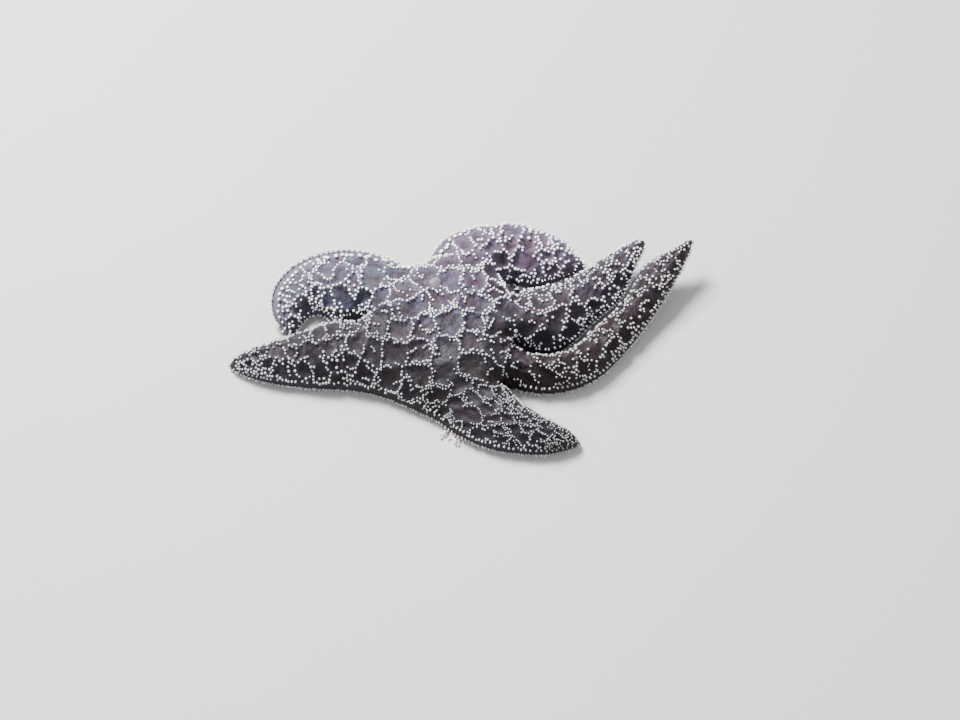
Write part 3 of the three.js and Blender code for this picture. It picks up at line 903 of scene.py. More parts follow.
def spaceOut(points, apart, draw, taken=()):
    # In a random order, each point keeps its own distance free around it. Gives those kept.
    tree = kdtree.KDTree(len(points))
    for i, point in enumerate(points):
        tree.insert(point, i)
    tree.balance()
    free, kept = np.ones(len(points), bool), []
    for point, room in taken:
        for _, j, _ in tree.find_range(point, room):
            free[j] = False
    for i in draw.permutation(len(points)):
        if free[i]:
            kept.append(i)
            for _, j, _ in tree.find_range(points[i], apart[i]):
                free[j] = False
    return np.array(kept)


topFaces = np.flatnonzero((isTop[faces] > 0).all(axis=1))
soleFaces = np.flatnonzero(~(isTop[faces] > 0).all(axis=1))
cornerOfPoint = np.zeros(len(body), int)
cornerOfPoint[faces.ravel()] = np.arange(faces.size)
mapOfPoint = skinMap.reshape(-1, 2)[cornerOfPoint]


def treeOf(chosen):
    # A search tree over the chosen points of the skin, for finding the nearest to any place.
    tree = kdtree.KDTree(len(chosen))
    for i in chosen:
        tree.insert(body[i], i)
    tree.balance()
    return tree


skinTree, soleTree = treeOf(top), treeOf(np.flatnonzero(isTop == 0))


def nearestOf(tree, points):
    # The number of the nearest point of the skin to each given one.
    return np.array([tree.find(p)[1] for p in points])


def settle(points):
    # The nearest points of the skin, which way it faces there, and their places on the map.
    near = nearestOf(skinTree, points)
    return body[near], bodyOut[near], mapOfPoint[near]


def middleOf(node):
    # Half the sum of the corners of a node's box, in millimetres.
    low, high = (np.array(corner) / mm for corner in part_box(node))
    return (low + high) / 2


# Rows of spines along the edges of the arms.
edge = {  # millimetres, and shares of the half width
    "bigStep": 3.2, "bigWide": 2.15, "bigTall": 1.5, "bigRoom": 2.5, "bigAt": 0.965, "bigStart": -2,
    "bigTaper": 1.3, "bigJostle": 0.05, "bigSizes": (0.9, 1.1), "bigSides": 12,
    "bigProfile": [(0.36, -0.3), (0.37, 0.15), (0.46, 0.36), (0.50, 0.58), (0.44, 0.80), (0.27, 0.95)],
    "farAt": 0.975, "farStep": 2.8, "farWide": 1.45, "farTall": 2.2, "farLean": 0.45, "farStart": 1.0,
    "farRoom": 1.4, "farOut": 0.25, "farJostle": 0.06, "farSizes": (0.85, 1.1),
    "nearAt": 0.93, "nearStep": 2.7, "nearWide": 1.2, "nearTall": 1.5, "nearStart": 2.5,
    "nearRoom": 1.35, "nearTaper": 1.2, "nearDroop": 0.15, "nearJostle": 0.08,
    "fringeAt": 0.9995, "fringeStep": 1.75, "fringeWide": 0.85, "fringeTall": 1.3, "fringeLean": 0.7,
    "fringeStart": 1.2, "fringeRoom": 1.2, "fringeDroop": 0.1, "fringeJostle": 0.08,
    "fringeSizes": (0.8, 1.1),
    "least": 0.6,  # size at an arm's tip, as a share of the full one
    "uneven": 0.14, "end": 0.985, "marks": 900,
    "profile": [(0.34, -0.2), (0.38, 0.2), (0.47, 0.6), (0.46, 0.82), (0.26, 0.97)], "sides": 7,
}


def edgeRow(arm, left, across, start, step, draw):
    # Points at one share of the half width, a step apart along the row give or take a little.
    along = np.linspace(sided(arm, "reach", left) + start, arm["length"] * edge["end"], edge["marks"])
    out = halfWidth(arm, np.full(along.shape, left), along) * across * (1 if left else -1)
    line = toPoints(arm, along, out, topAt(arm, along, out))
    gone = np.concatenate([[0], np.cumsum(np.linalg.norm(np.diff(line, axis=0), axis=1))])
    marks = np.arange(step / 2, gone[-1], step)
    marks = marks + draw.uniform(-edge["uneven"], edge["uneven"], len(marks)) * step
    spots = np.stack([np.interp(marks, gone, line[:, k]) for k in range(3)], axis=1)
    return spots, np.interp(marks, gone, along)


def tapered(arm, spots, at, fall):
    # The spots with their sizes: falling in proportion to the way gone, between the least and 1.
    size = np.clip(fall * (1 - at / arm["length"]) + edge["least"], edge["least"], 1)
    return np.column_stack([spots, size])


def aheadOf(arm, along):
    # The level direction in which the arm's path runs.
    heading = pathAt(arm, along)[2]
    return np.stack([np.cos(heading), np.sin(heading), np.zeros_like(heading)], axis=1)


draw = np.random.default_rng(11)
bigRow, farRow, farAhead, nearRow, fringe, fringeAhead = [], [], [], [], [], []
for index, arm in enumerate(arms):
    for left in (True, False):
        bareShare = perArm["stripLeft" if left else "stripRight"][index]
        if bareShare > 0:
            spots, at = edgeRow(arm, left, edge["bigAt"] - bareShare, edge["bigStart"], edge["bigStep"], draw)
            bigRow.append(tapered(arm, spots, at, edge["bigTaper"]))
            spots, at = edgeRow(arm, left, edge["farAt"], edge["farStart"], edge["farStep"], draw)
            farRow.append(spots)
            farAhead.append(aheadOf(arm, at))
        else:
            spots, at = edgeRow(arm, left, edge["nearAt"], edge["nearStart"], edge["nearStep"], draw)
            nearRow.append(tapered(arm, spots, at, edge["nearTaper"]))
            spots, at = edgeRow(arm, left, edge["fringeAt"], edge["fringeStart"], edge["fringeStep"], draw)
            fringe.append(spots)
            fringeAhead.append(aheadOf(arm, at))
bigRow, farRow, nearRow = np.concatenate(bigRow), np.concatenate(farRow), np.concatenate(nearRow)
fringe, fringeAhead, farAhead = (np.concatenate(x) for x in (fringe, fringeAhead, farAhead))
bigSize, nearSize = bigRow[:, 3], nearRow[:, 3]
bigRoots, bigOut, bigMap = settle(bigRow[:, :3])
farRoots, farOut, farMap = settle(farRow)
nearRoots, nearOut, nearMap = settle(nearRow[:, :3])
fringeRoots, fringeOut, fringeMap = settle(fringe)
print("edge rows placed:", len(bigRoots), len(farRoots), len(nearRoots), len(fringeRoots))


# Beads: short club-headed spines in chains and clusters along the ridges.
bead = {  # millimetres
    "tries": 420000, "fadeLeast": 0.25, "stripMost": 0.35, "lineMost": 2.6, "spurLeast": 0.1,
    "apart": 1.34, "armApart": 1.46, "tipApart": 1.42,  # least distance between neighbours
    "armFrom": 30, "armOver": 25, "tipFrom": 0.7, "tipOver": 0.3,  # where the second and third hold
    "uneven": (0.82, 1.2), "swell": 0.12, "swellSize": 14.0,
    "wide": 0.90, "tall": 1.15,  # width against that distance, and height in millimetres
    "sizes": (0.82, 1.06), "lean": 0.09, "bodyShare": 0.6,
    "band": 0.20,  # half width of a chain
    "pairFrom": 0.68, "pairAt": 0.72,  # borders stronger than this have a chain on either side
    "node": 0.95, "spurBand": 0.22, "loose": 0.0012, "looseFrom": 1.3,
    "crowdSize": 6.5, "gapSize": 8.0, "ownFrom": 24, "ownOver": 20,
    "bigger": np.array([1.0, 0.82, 0.95, 1.05, 1.12, 1.05]),  # per arm
    "nearShare": 0.80,  # how much smaller they are on the low side of the disc
    "discGaps": 0.16,  # share of the chains left out, on the disc and per arm
    "gaps": np.array([0.2, 0.2, 0.46, 0.22, 0.14, 0.16]),
    "sieveRoom": 3.5,
    "profile": [(0.36, -0.3), (0.38, 0.22), (0.50, 0.52), (0.45, 0.78), (0.25, 0.94)],
    "sides": 7,
}
nowhere = 99  # the distance to a border that is left out
draw = np.random.default_rng(21)
face, weight = scatter(bead["tries"], topFaces, draw)
clear = onSkin(fade, face, weight) > bead["fadeLeast"]
clear &= onSkin(strip, face, weight) < bead["stripMost"]
clear &= ((onSkin(rimNearest, face, weight) < bead["lineMost"])
          | (onSkin(spurBank, face, weight) > bead["spurLeast"]))
face, weight = face[clear], weight[clear]
armHere = armOf[faces[face, 0]]
alongHere, outHere = onSkin(along, face, weight), onSkin(out, face, weight)
points, bases = onSkin(body, face, weight), onSkin(bare, face, weight)
exact = unroll(bases, armHere, alongHere, outHere)
rimHere, wallHere, _ = cellBorders(exact)
rimHere = np.where(wallHere > 0, rimHere, nowhere)
order = np.argsort(rimHere, axis=1)
nearest = np.take_along_axis(rimHere, order, 1)
strong = np.take_along_axis(wallHere, order, 1)[:, 0]
crowding = 0.5 + 0.5 * waves(points, bead["crowdSize"], 71)
fromLine = np.where(strong > bead["pairFrom"], np.abs(nearest[:, 0] - bead["pairAt"]), nearest[:, 0])
own = smooth((alongHere - bead["ownFrom"]) / bead["ownOver"])
gaps = mix(bead["discGaps"], bead["gaps"][armHere], own)
chain = (fromLine < bead["band"]) & (0.5 + 0.5 * waves(points, bead["gapSize"], 72) > gaps)
cluster = nearest[:, 1] < bead["node"] * (0.2 + 1.2 * crowding) * (1.2 - gaps)
spurHere, spurWallHere, _ = spurBorders(exact)
spur = np.where(spurWallHere > 0, spurHere, nowhere).min(axis=1) < bead["spurBand"]
loose = (draw.random(len(points)) < bead["loose"]) & (nearest[:, 0] > bead["looseFrom"])
good = np.flatnonzero(chain | cluster | spur | loose)
tipShare = alongHere / ofArms("length", armHere)
room = mix(bead["apart"], bead["armApart"], smooth((alongHere - bead["armFrom"]) / bead["armOver"]))
room = mix(room, bead["tipApart"], smooth((tipShare - bead["tipFrom"]) / bead["tipOver"]))
room = room * (1 + bead["swell"] * waves(points, bead["swellSize"], 70))
room = room * draw.uniform(*bead["uneven"], len(room))
room = room * mix(1.0, bead["bigger"][armHere], own)
room = room * mix(bead["nearShare"], 1.0, highSide(points))
sieveNear = nearestOf(skinTree, [middleOf("madreporite")])[0]
sieveSpot = body[sieveNear]
taken = (roomFor(bigRoots, edge["bigRoom"]) + roomFor(nearRoots, edge["nearRoom"])
         + roomFor(fringeRoots, edge["fringeRoom"]) + roomFor(farRoots, edge["farRoom"])
         + roomFor([sieveSpot], bead["sieveRoom"]))
kept = good[spaceOut(points[good], room[good], draw, taken)]
roots = points[kept]
axes = unit(onSkin(bodyOut, face[kept], weight[kept]) * bead["bodyShare"]
            + onSkin(outward, face[kept], weight[kept]) + draw.normal(0, bead["lean"], (len(kept), 3)))
size = room[kept] * draw.uniform(*bead["sizes"], len(kept))
beadMap, beadLight = onMap(face[kept], weight[kept]), onSkin(light, face[kept], weight[kept])
print("beads placed:", len(kept), "and", round(float(size.min()), 2), "to", round(float(size.max()), 2), "mm")

beadLook = {
    # the second head colour greys the first, by its share, as painted shade where the light field is low
    "head": ((0.86, 0.85, 0.84), (0.95, 0.95, 0.96)), "shadedHead": (0.25, 0.246, 0.243), "shadeShare": 0.85,
    "shadeUpTo": 0.45, "stain": (0.55, 0.47, 0.50), "stalk": (0.20, 0.16, 0.19), "rough": 0.42,
}


def beadFinish():
    # A skin-coloured stalk that turns, along the height, into a white head. The head is greyed as painted
    # shade where the light field is low, and has faint stains.
    f = Finish("spines")
    tip, tone, light = f.field("tip"), f.field("tone"), f.field("light")
    head = f.blend(tone, *beadLook["head"])
    shadedHead = f.blend(beadLook["shadeShare"], head, beadLook["shadedHead"])
    head = f.blend(f.ramp(light, 0.0, beadLook["shadeUpTo"]), shadedHead, head)
    stain = f.ramp(f.noise(700, 2.0), 0.45, 0.7)
    head = f.blend(stain * 0.15, head, beadLook["stain"])
    colour = f.blend(f.ramp(tip, 0.04, 0.22), beadLook["stalk"], head)
    grain = f.bump(f.noise(3000, 2.0), 0.25, 0.0001)
    return f.surface({"Base Color": colour, "Roughness": beadLook["rough"], "Normal": grain})


def jostled(axes, amount):
    # Each axis plus a random push, made one long again.
    return unit(axes + draw.normal(0, amount, axes.shape))


def toneAndLight(roots):
    # A random tone for each spine, and the light of the nearest skin.
    near = nearestOf(skinTree, roots)
    return {"tone": draw.random(len(roots)), "light": light[near]}


beadMaterial = beadFinish()
template = turned(bead["profile"], bead["sides"])
for name, part in zip(("beads_a", "beads_b", "beads_c"), np.array_split(np.arange(len(kept)), 3)):
    strew(name, template, roots[part], axes[part], size[part] * bead["wide"],
          bead["tall"] * np.sqrt(size[part] / bead["armApart"]), beadMap[part], beadMaterial,
          fields={"tone": draw.random(len(part)), "light": beadLight[part]})

bigTemplate = turned(edge["bigProfile"], edge["bigSides"])
strew("edge_beads", bigTemplate, bigRoots, jostled(bigOut, edge["bigJostle"]),
      edge["bigWide"] * bigSize * draw.uniform(*edge["bigSizes"], len(bigRow)), edge["bigTall"] * bigSize,
      bigMap, beadMaterial, fields=toneAndLight(bigRoots))
spine = turned(edge["profile"], edge["sides"])
strew("edge_spines", spine, nearRoots, jostled(nearOut + edge["nearDroop"] * down, edge["nearJostle"]),
      edge["nearWide"] * nearSize, edge["nearTall"] * nearSize, nearMap, beadMaterial,
      fields=toneAndLight(nearRoots))
farLean = jostled(edge["farOut"] * farOut + edge["farLean"] * farAhead - down, edge["farJostle"])
strew("far_edge_spines", spine, farRoots, farLean,
      edge["farWide"] * draw.uniform(*edge["farSizes"], len(farRoots)),
      np.full(len(farRoots), edge["farTall"]), farMap, beadMaterial, fields=toneAndLight(farRoots))
fringeLean = jostled(fringeOut + edge["fringeLean"] * fringeAhead + edge["fringeDroop"] * down,
                     edge["fringeJostle"])
strew("edge_fringe", spine, fringeRoots, fringeLean, np.full(len(fringeLean), edge["fringeWide"]),
      edge["fringeTall"] * draw.uniform(*edge["fringeSizes"], len(fringeLean)), fringeMap, beadMaterial,
      fields=toneAndLight(fringeRoots))


# Papulae: soft fingers of skin that fill the hollows of the network.
papula = {  # millimetres
    "tries": 170000, "openFrom": 1.2, "spurMost": 0.5, "fadeLeast": 0.6,
    "apart": 0.84, "spineRoom": 0.72, "bigRoom": 1.2, "sieveRoom": 3.3,
    "wide": 0.24, "tall": 0.36, "swell": (0.8, 0.5), "swellSize": 9.0, "uneven": (0.7, 1.25), "lean": 0.16,
    "profile": [(0.9, -0.2), (1.0, 0.3), (0.62, 0.85)], "sides": 5,
    "toneShare": 0.35, "toneSize": 3.0,
    # the wet colours are darkened as painted shade, the dry ones lightened as painted light
    "wetShadedBase": (0.018, 0.011, 0.014), "wetShadedEnd": ((0.024, 0.015, 0.019), (0.032, 0.031, 0.038)),
    "dryLitBase": (0.120, 0.086, 0.130), "dryLitEnd": ((0.150, 0.100, 0.160), (0.115, 0.122, 0.172)),
    "red": (0.024, 0.012, 0.015), "redShare": 0.7,
}
draw = np.random.default_rng(31)
face, weight = scatter(papula["tries"], topFaces, draw)
roomy = onSkin(rimNearest, face, weight) > papula["openFrom"]
roomy &= onSkin(spurBank, face, weight) < papula["spurMost"]
roomy &= onSkin(fade, face, weight) > papula["fadeLeast"]
face, weight = face[roomy], weight[roomy]
points = onSkin(body, face, weight)
taken = (roomFor(np.vstack([roots, nearRoots, farRoots]), papula["spineRoom"])
         + roomFor(bigRoots, papula["bigRoom"]) + roomFor([sieveSpot], papula["sieveRoom"]))
kept = spaceOut(points, np.full(len(points), papula["apart"]), draw, taken)
face, weight, roots = face[kept], weight[kept], points[kept]
onto = onSkin(outward, face, weight)
swell = papula["swell"][0] + papula["swell"][1] * waves(roots, papula["swellSize"], 80)
tall = papula["tall"] * swell * draw.uniform(*papula["uneven"], len(kept))
lean = draw.normal(0, papula["lean"], roots.shape)


def papulaFinish():
    # A wet finger in painted shade and a dry one in painted light, each from a base colour to an end
    # colour that is a blend of two by tone, blended by the light field, and reddened.
    f = Finish("papulae")
    tip, tone, red, light = (f.field(n) for n in ("tip", "tone", "red", "light"))
    end = f.ramp(tip, 0.3, 1.0)
    wetShaded = f.blend(end, papula["wetShadedBase"], f.blend(tone, *papula["wetShadedEnd"]))
    dryLit = f.blend(end, papula["dryLitBase"], f.blend(tone, *papula["dryLitEnd"]))
    colour = f.blend(red * papula["redShare"], f.blend(light, wetShaded, dryLit), papula["red"])
    return f.surface({"Base Color": colour, "Roughness": 0.55, "Specular IOR Level": skinLook["shine"]})


papulaMaterial = papulaFinish()
papulaTemplate = turned(papula["profile"], papula["sides"])
papulaTone = onSkin(tone, face, weight) + papula["toneShare"] * waves(roots, papula["toneSize"], 81)
papulaFields = {"tone": np.clip(papulaTone, 0, 1), "red": onSkin(redness, face, weight),
                "light": onSkin(light, face, weight)}
papulaMap = onMap(face, weight)
names = ("papulae_a", "papulae_b", "papulae_c", "papulae_d")
for name, part in zip(names, np.array_split(np.arange(len(kept)), len(names))):
    strew(name, papulaTemplate, roots[part], unit(onto[part] + lean[part]),
          np.full(len(part), papula["wide"]), tall[part], papulaMap[part], papulaMaterial,
          fields={key: values[part] for key, values in papulaFields.items()})


# The sieve plate: a low dome with branching grooves, set a little into the skin.
sieve = {  # millimetres
    "radius": 3.0, "dome": 1.1, "domePower": 2.4, "groove": 0.16, "wander": 0.5, "sunk": 0.15, "below": 0.8,
    "turns": (9, 18, 36), "turnAt": (0.3, 0.62),  # how many grooves, and from where there are more
    "rings": 26, "spokes": 150,
    # the groove colour is painted shade, laid by the depth of the grooves
    "plain": ((0.110, 0.090, 0.112), (0.165, 0.138, 0.158)), "grooveShade": (0.045, 0.032, 0.042),
}


def fan(rings, spokes):
    # Faces of a disc: a middle point, then rings of points outwards, facing up.
    j = np.arange(spokes)
    middle = [np.stack([np.zeros(spokes, int), 1 + j, 1 + (j + 1) % spokes], -1)]
    k, j = np.meshgrid(np.arange(rings - 1), np.arange(spokes), indexing="ij")
    a, b = 1 + k * spokes + j, 1 + k * spokes + (j + 1) % spokes
    return np.concatenate(middle + [np.stack(three, -1).reshape(-1, 3) for three in
                                    ((a, a + spokes, b + spokes), (a, b + spokes, b))])


def closedLid(middle, axis, radius, height, spin, rings, spokes):
    # A lid of the given heights over rings of points, closed by a flat disc beneath.
    side, across = sideAndAcross(axis)
    flat = (radius * np.cos(spin))[..., None] * side + (radius * np.sin(spin))[..., None] * across
    lid = middle + flat + height[..., None] * axis
    base = middle + flat - sieve["below"] * axis
    lidFaces = fan(rings, spokes)
    count = 1 + rings * spokes
    j = np.arange(spokes)
    a, b = count - spokes + j, count - spokes + (j + 1) % spokes
    wall = [np.stack([a, a + count, b + count], -1), np.stack([a, b + count, b], -1)]
    return np.vstack([lid, base]), np.concatenate([lidFaces, lidFaces[:, ::-1] + count] + wall)


def buildSieve():
    # Grooves: the height falls by a share of (1 - |sin|) squared of half the angle times 9, 18 and
    # 36 from the middle out. The rim is a circle with three and five slight lobes.
    rings, spokes = sieve["rings"], sieve["spokes"]
    share = np.concatenate([[0], np.repeat(np.arange(1, rings + 1) / rings, spokes)])
    spin = np.concatenate([[0], np.tile(2 * np.pi * np.arange(spokes) / spokes, rings)])
    bent = spin + sieve["wander"] * np.sin(3 * spin + 4 * share) * share
    few, more, most = sieve["turns"]
    times = np.where(share < sieve["turnAt"][0], few, np.where(share < sieve["turnAt"][1], more, most))
    furrow = (1 - np.abs(np.sin(bent * times / 2))) ** 2 * smooth(share / 0.12) * smooth((1 - share) / 0.08)
    lobed = sieve["radius"] * share * (1 + 0.05 * np.sin(3 * spin + 1) + 0.03 * np.sin(5 * spin))
    height = sieve["dome"] * (1 - share ** sieve["domePower"]) - sieve["groove"] * furrow - 0.1
    axis = outward[sieveNear]
    points, lidFaces = closedLid(sieveSpot - sieve["sunk"] * axis, axis, lobed, height, spin, rings, spokes)
    return points, lidFaces, np.concatenate([furrow, furrow])


def sieveFinish():
    # Two close tones in fine clouds, and painted shade in the grooves, darker by their depth.
    f = Finish("sieve_plate")
    groove, fine = f.field("groove"), f.noise(1400, 3.0)
    colour = f.blend(f.ramp(fine, 0.35, 0.65), *sieve["plain"])
    colour = f.blend(f.ramp(groove, 0.2, 0.8), colour, sieve["grooveShade"])
    return f.surface({"Base Color": colour, "Roughness": 0.5, "Normal": f.bump(fine, 0.3, 0.0001)})


sievePoints, sieveFaces, furrow = buildSieve()
sievePiece = makePiece("sieve", sievePoints, sieveFaces, sieveFinish(), {"groove": furrow})
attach(sievePiece, "root")
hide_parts("madreporite")
print("sieve plate has", len(sieveFaces), "faces")


# Eyespots: a red cushion of small lenses at the tip of each arm, inside a ring of short spines.
eyes = {  # millimetres
    "radius": 0.78, "long": 1.15, "lens": 0.06, "back": 1.15, "rings": 14, "spokes": 24,
    "guards": 9, "guardRing": 0.85, "guardBack": 1.1, "guardWide": 0.8, "guardTall": 1.5,
    "guardSpread": 0.55, "guardSizes": (0.85, 1.1),
    "red": (0.300, 0.040, 0.025), "between": (0.130, 0.014, 0.012),
}


def buildEyes():
    # A ball with a radius that swells by cos 6u sin 5v, drawn out along the arm, and a ring of
    # guards around it that lean outwards.
    v, u = np.meshgrid(np.linspace(0, np.pi, eyes["rings"] + 1)[1:-1],
                       2 * np.pi * np.arange(eyes["spokes"]) / eyes["spokes"], indexing="ij")
    v, u = v.ravel(), u.ravel()
    size = eyes["radius"] * (1 + eyes["lens"] * np.cos(6 * u) * np.sin(5 * v))
    pole = eyes["long"] * eyes["radius"]
    ball = np.vstack([[0, 0, pole],
                      np.stack([size * np.sin(v) * np.cos(u), size * np.sin(v) * np.sin(u),
                                eyes["long"] * size * np.cos(v)], -1),
                      [0, 0, -pole]])
    last = len(ball) - 1
    j = last - eyes["spokes"] + np.arange(eyes["spokes"])
    ballFaces = np.concatenate([fan(eyes["rings"] - 1, eyes["spokes"]),
                                np.stack([j, np.full(len(j), last), np.roll(j, -1)], -1)])
    points, guardRoots, guardAxes = [], [], []
    for index, arm in enumerate(arms):
        heading = float(pathAt(arm, np.array(arm["length"]))[2])
        ahead = np.array([math.cos(heading), math.sin(heading), 0.0])
        side, above = sideAndAcross(ahead)
        middle = middleOf(f"eyespot_{index + 1}") - eyes["back"] * ahead
        points.append(middle + ball[:, :1] * side + ball[:, 1:2] * above + ball[:, 2:] * ahead)
        turn = 2 * np.pi * np.arange(eyes["guards"])[:, None] / eyes["guards"]
        ring = np.cos(turn) * side + np.sin(turn) * above
        guardRoots.append(middle + eyes["guardRing"] * ring - eyes["guardBack"] * ahead)
        guardAxes.append(unit(ahead + eyes["guardSpread"] * ring))
    allFaces = repeated(ballFaces, len(arms), len(ball))
    return np.concatenate(points), allFaces, np.concatenate(guardRoots), np.concatenate(guardAxes)


def eyeFinish():
    # Red dots, darker between them.
    f = Finish("eyespot")
    lens = f.cells(2200)
    colour = f.blend(f.ramp(lens, 0.1, 0.5), eyes["red"], eyes["between"])
    return f.surface({"Base Color": colour, "Roughness": 0.3, "Normal": f.bump(lens, 0.4, 0.0001),
                      "Coat Weight": 0.2})


eyePoints, eyeFaces, guardRoots, guardAxes = buildEyes()
eyePiece = makePiece("eyespots", eyePoints, eyeFaces, eyeFinish())
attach(eyePiece, "root")
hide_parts(*[f"eyespot_{n}" for n in range(1, 7)])
guardMap = settle(guardRoots)[2]
strew("tip_spines", spine, guardRoots, guardAxes, np.full(len(guardRoots), eyes["guardWide"]),
      eyes["guardTall"] * draw.uniform(*eyes["guardSizes"], len(guardRoots)), guardMap, beadMaterial,
      fields=toneAndLight(guardRoots))


# The underside: tube feet in the grooves, and spines beside them and over the sole.
sole = {  # millimetres
    "footRows": (-1.75, -0.6, 0.6, 1.75), "footStep": 2.1, "footWide": 0.85, "footFrom": 9.5,
    "footShift": 0.5, "footSunk": 0.2, "footGap": 0.45, "footLeast": 0.8, "footSizes": (0.75, 1.0),
    "footJostle": 0.09,
    "footProfile": [(0.40, -0.1), (0.36, 0.3), (0.32, 0.7), (0.50, 0.88), (0.46, 0.97)], "footSides": 7,
    "foot": ((0.50, 0.42, 0.34), (0.80, 0.76, 0.68)),
    "grooveRows": (0.55, 1.75), "grooveStep": 1.55, "grooveWide": 0.75, "grooveTall": 1.3,
    "grooveFrom": 8.5, "grooveShift": 0.7, "grooveOut": 0.1, "tipFree": 5, "edgeFree": 0.5,
    "spineTries": 60000, "spineApart": 2.05, "spineWide": 0.95, "spineTall": 1.25, "spineSizes": (0.8, 1.05),
    # the spines on the sole get a low light field, so their heads are greyed as painted shade
    "grooveFree": 2.5, "mouthFree": 0.6, "leastWidth": 3, "fringeRoom": 1.0, "jostle": 0.12, "light": 0.2,
    "bluntProfile": [(0.40, -0.2), (0.46, 0.3), (0.50, 0.7), (0.34, 0.95)], "bluntSides": 6,
}


def soleRow(arm, offset, beside, start, step):
    # Places at a fixed distance from the arm's middle line, or beside the edge of its groove.
    along = np.arange(start, arm["length"] - sole["tipFree"], step)
    left = np.full(along.shape, offset >= 0)
    limit = limitAt(arm, left, along)
    groove = grooveAt(arm, left, along, limit)
    if beside:
        out = (1 if offset >= 0 else -1) * (groove + abs(offset))
    else:
        out = offset * np.minimum(1, groove / form["groove"])
    good = np.abs(out) < limit - sole["edgeFree"]
    along, out = along[good], out[good]
    height = soleAt(arm, along, out, limitAt(arm, left[good], along))
    return toPoints(arm, along, out, height), liftAt(arm, along)


def mapBelow(points):
    # The map's place of the nearest point of the sole.
    return mapOfPoint[nearestOf(soleTree, points)]


feet, feetLift, besides = [], [], []
for arm in arms:
    for number, offset in enumerate(sole["footRows"]):
        spots, lift = soleRow(arm, offset, False, sole["footFrom"] + sole["footShift"] * number,
                              sole["footStep"])
        feet.append(spots)
        feetLift.append(lift)
    for sign in (-1, 1):
        for number, offset in enumerate(sole["grooveRows"]):
            start = sole["grooveFrom"] + sole["grooveShift"] * number
            besides.append(soleRow(arm, sign * offset, True, start, sole["grooveStep"])[0])
feet, feetLift, besides = np.concatenate(feet), np.concatenate(feetLift), np.concatenate(besides)
feetRoots = feet + np.array([0, 0, skin["soleDepth"] - sole["footSunk"]])
feetTall = np.maximum(feetRoots[:, 2] - feetLift - sole["footGap"], sole["footLeast"])
feetTall = feetTall * draw.uniform(*sole["footSizes"], len(feet))


def footFinish():
    # Darker at the root than at the sucker, and a little mottled.
    f = Finish("tube_feet")
    colour = f.blend(f.ramp(f.field("tip"), 0.1, 0.9), *sole["foot"])
    colour = f.shade(colour, f.ramp(f.noise(1800, 2.0), 0.35, 0.65, (0.85, 1.0)))
    grain = f.bump(f.noise(2400, 2.0), 0.3, 0.0001)
    return f.surface({"Base Color": colour, "Roughness": 0.35, "Normal": grain})


footMaterial = footFinish()
foot = turned(sole["footProfile"], sole["footSides"])
strew("tube_feet", foot, feetRoots, jostled(np.tile(down, (len(feet), 1)), sole["footJostle"]),
      np.full(len(feet), sole["footWide"]), feetTall, mapBelow(feet), footMaterial,
      fields={"tone": draw.random(len(feet))})

besidesRoots = besides + np.array([0, 0, skin["soleDepth"] + sole["grooveOut"]])
blunt = turned(sole["bluntProfile"], sole["bluntSides"])
strew("groove_spines", blunt, besidesRoots, jostled(np.tile(down, (len(besides), 1)), sole["jostle"]),
      np.full(len(besides), sole["grooveWide"]), np.full(len(besides), sole["grooveTall"]),
      mapBelow(besides), beadMaterial,
      fields={"tone": draw.random(len(besides)), "light": np.full(len(besides), sole["light"])})

face, weight = scatter(sole["spineTries"], soleFaces, draw)
alongHere, outHere = onSkin(along, face, weight), onSkin(out, face, weight)
keep = np.abs(outHere) > form["groove"] + sole["grooveFree"]
keep &= np.hypot(alongHere, outHere) > form["mouthRadius"] + sole["mouthFree"]
keep &= onSkin(width, face, weight) > sole["leastWidth"]
face, weight = face[keep], weight[keep]
points = onSkin(body, face, weight)
kept = spaceOut(points, np.full(len(points), sole["spineApart"]), draw,
                roomFor(fringeRoots, sole["fringeRoom"]))
face, weight = face[kept], weight[kept]
strew("sole_spines", blunt, points[kept], jostled(onSkin(bodyOut, face, weight), sole["jostle"]),
      np.full(len(kept), sole["spineWide"]), sole["spineTall"] * draw.uniform(*sole["spineSizes"], len(kept)),
      onMap(face, weight), beadMaterial,
      fields={"tone": draw.random(len(kept)), "light": np.full(len(kept), sole["light"])})


# The mouth: a puckered ring of skin, with a ring of longer spines that lean over it.
mouth = {  # millimetres
    "profile": [(0.35, 5.4), (0.6, 4.6), (1.3, 4.0), (2.2, 3.5), (3.1, 3.1), (3.8, 3.3), (4.3, 4.0),
                (4.7, 5.2), (4.9, 6.6), (2.5, 6.9), (0.35, 6.4)],
    "spokes": 96, "folds": 24, "foldDepth": 0.16, "foldFrom": 4.2, "foldOver": 2, "foldBelow": 5,
    "skin": ((0.42, 0.27, 0.19), (0.55, 0.40, 0.30)),
    "spines": 12, "spineRing": 6.9, "spineHeight": 3.4, "spineTall": 3.2, "spineWide": 1.1,
    # the oral spines get a low light field, so their heads are greyed as painted shade
    "spineDroop": 0.45, "spineLight": 0.3,
}


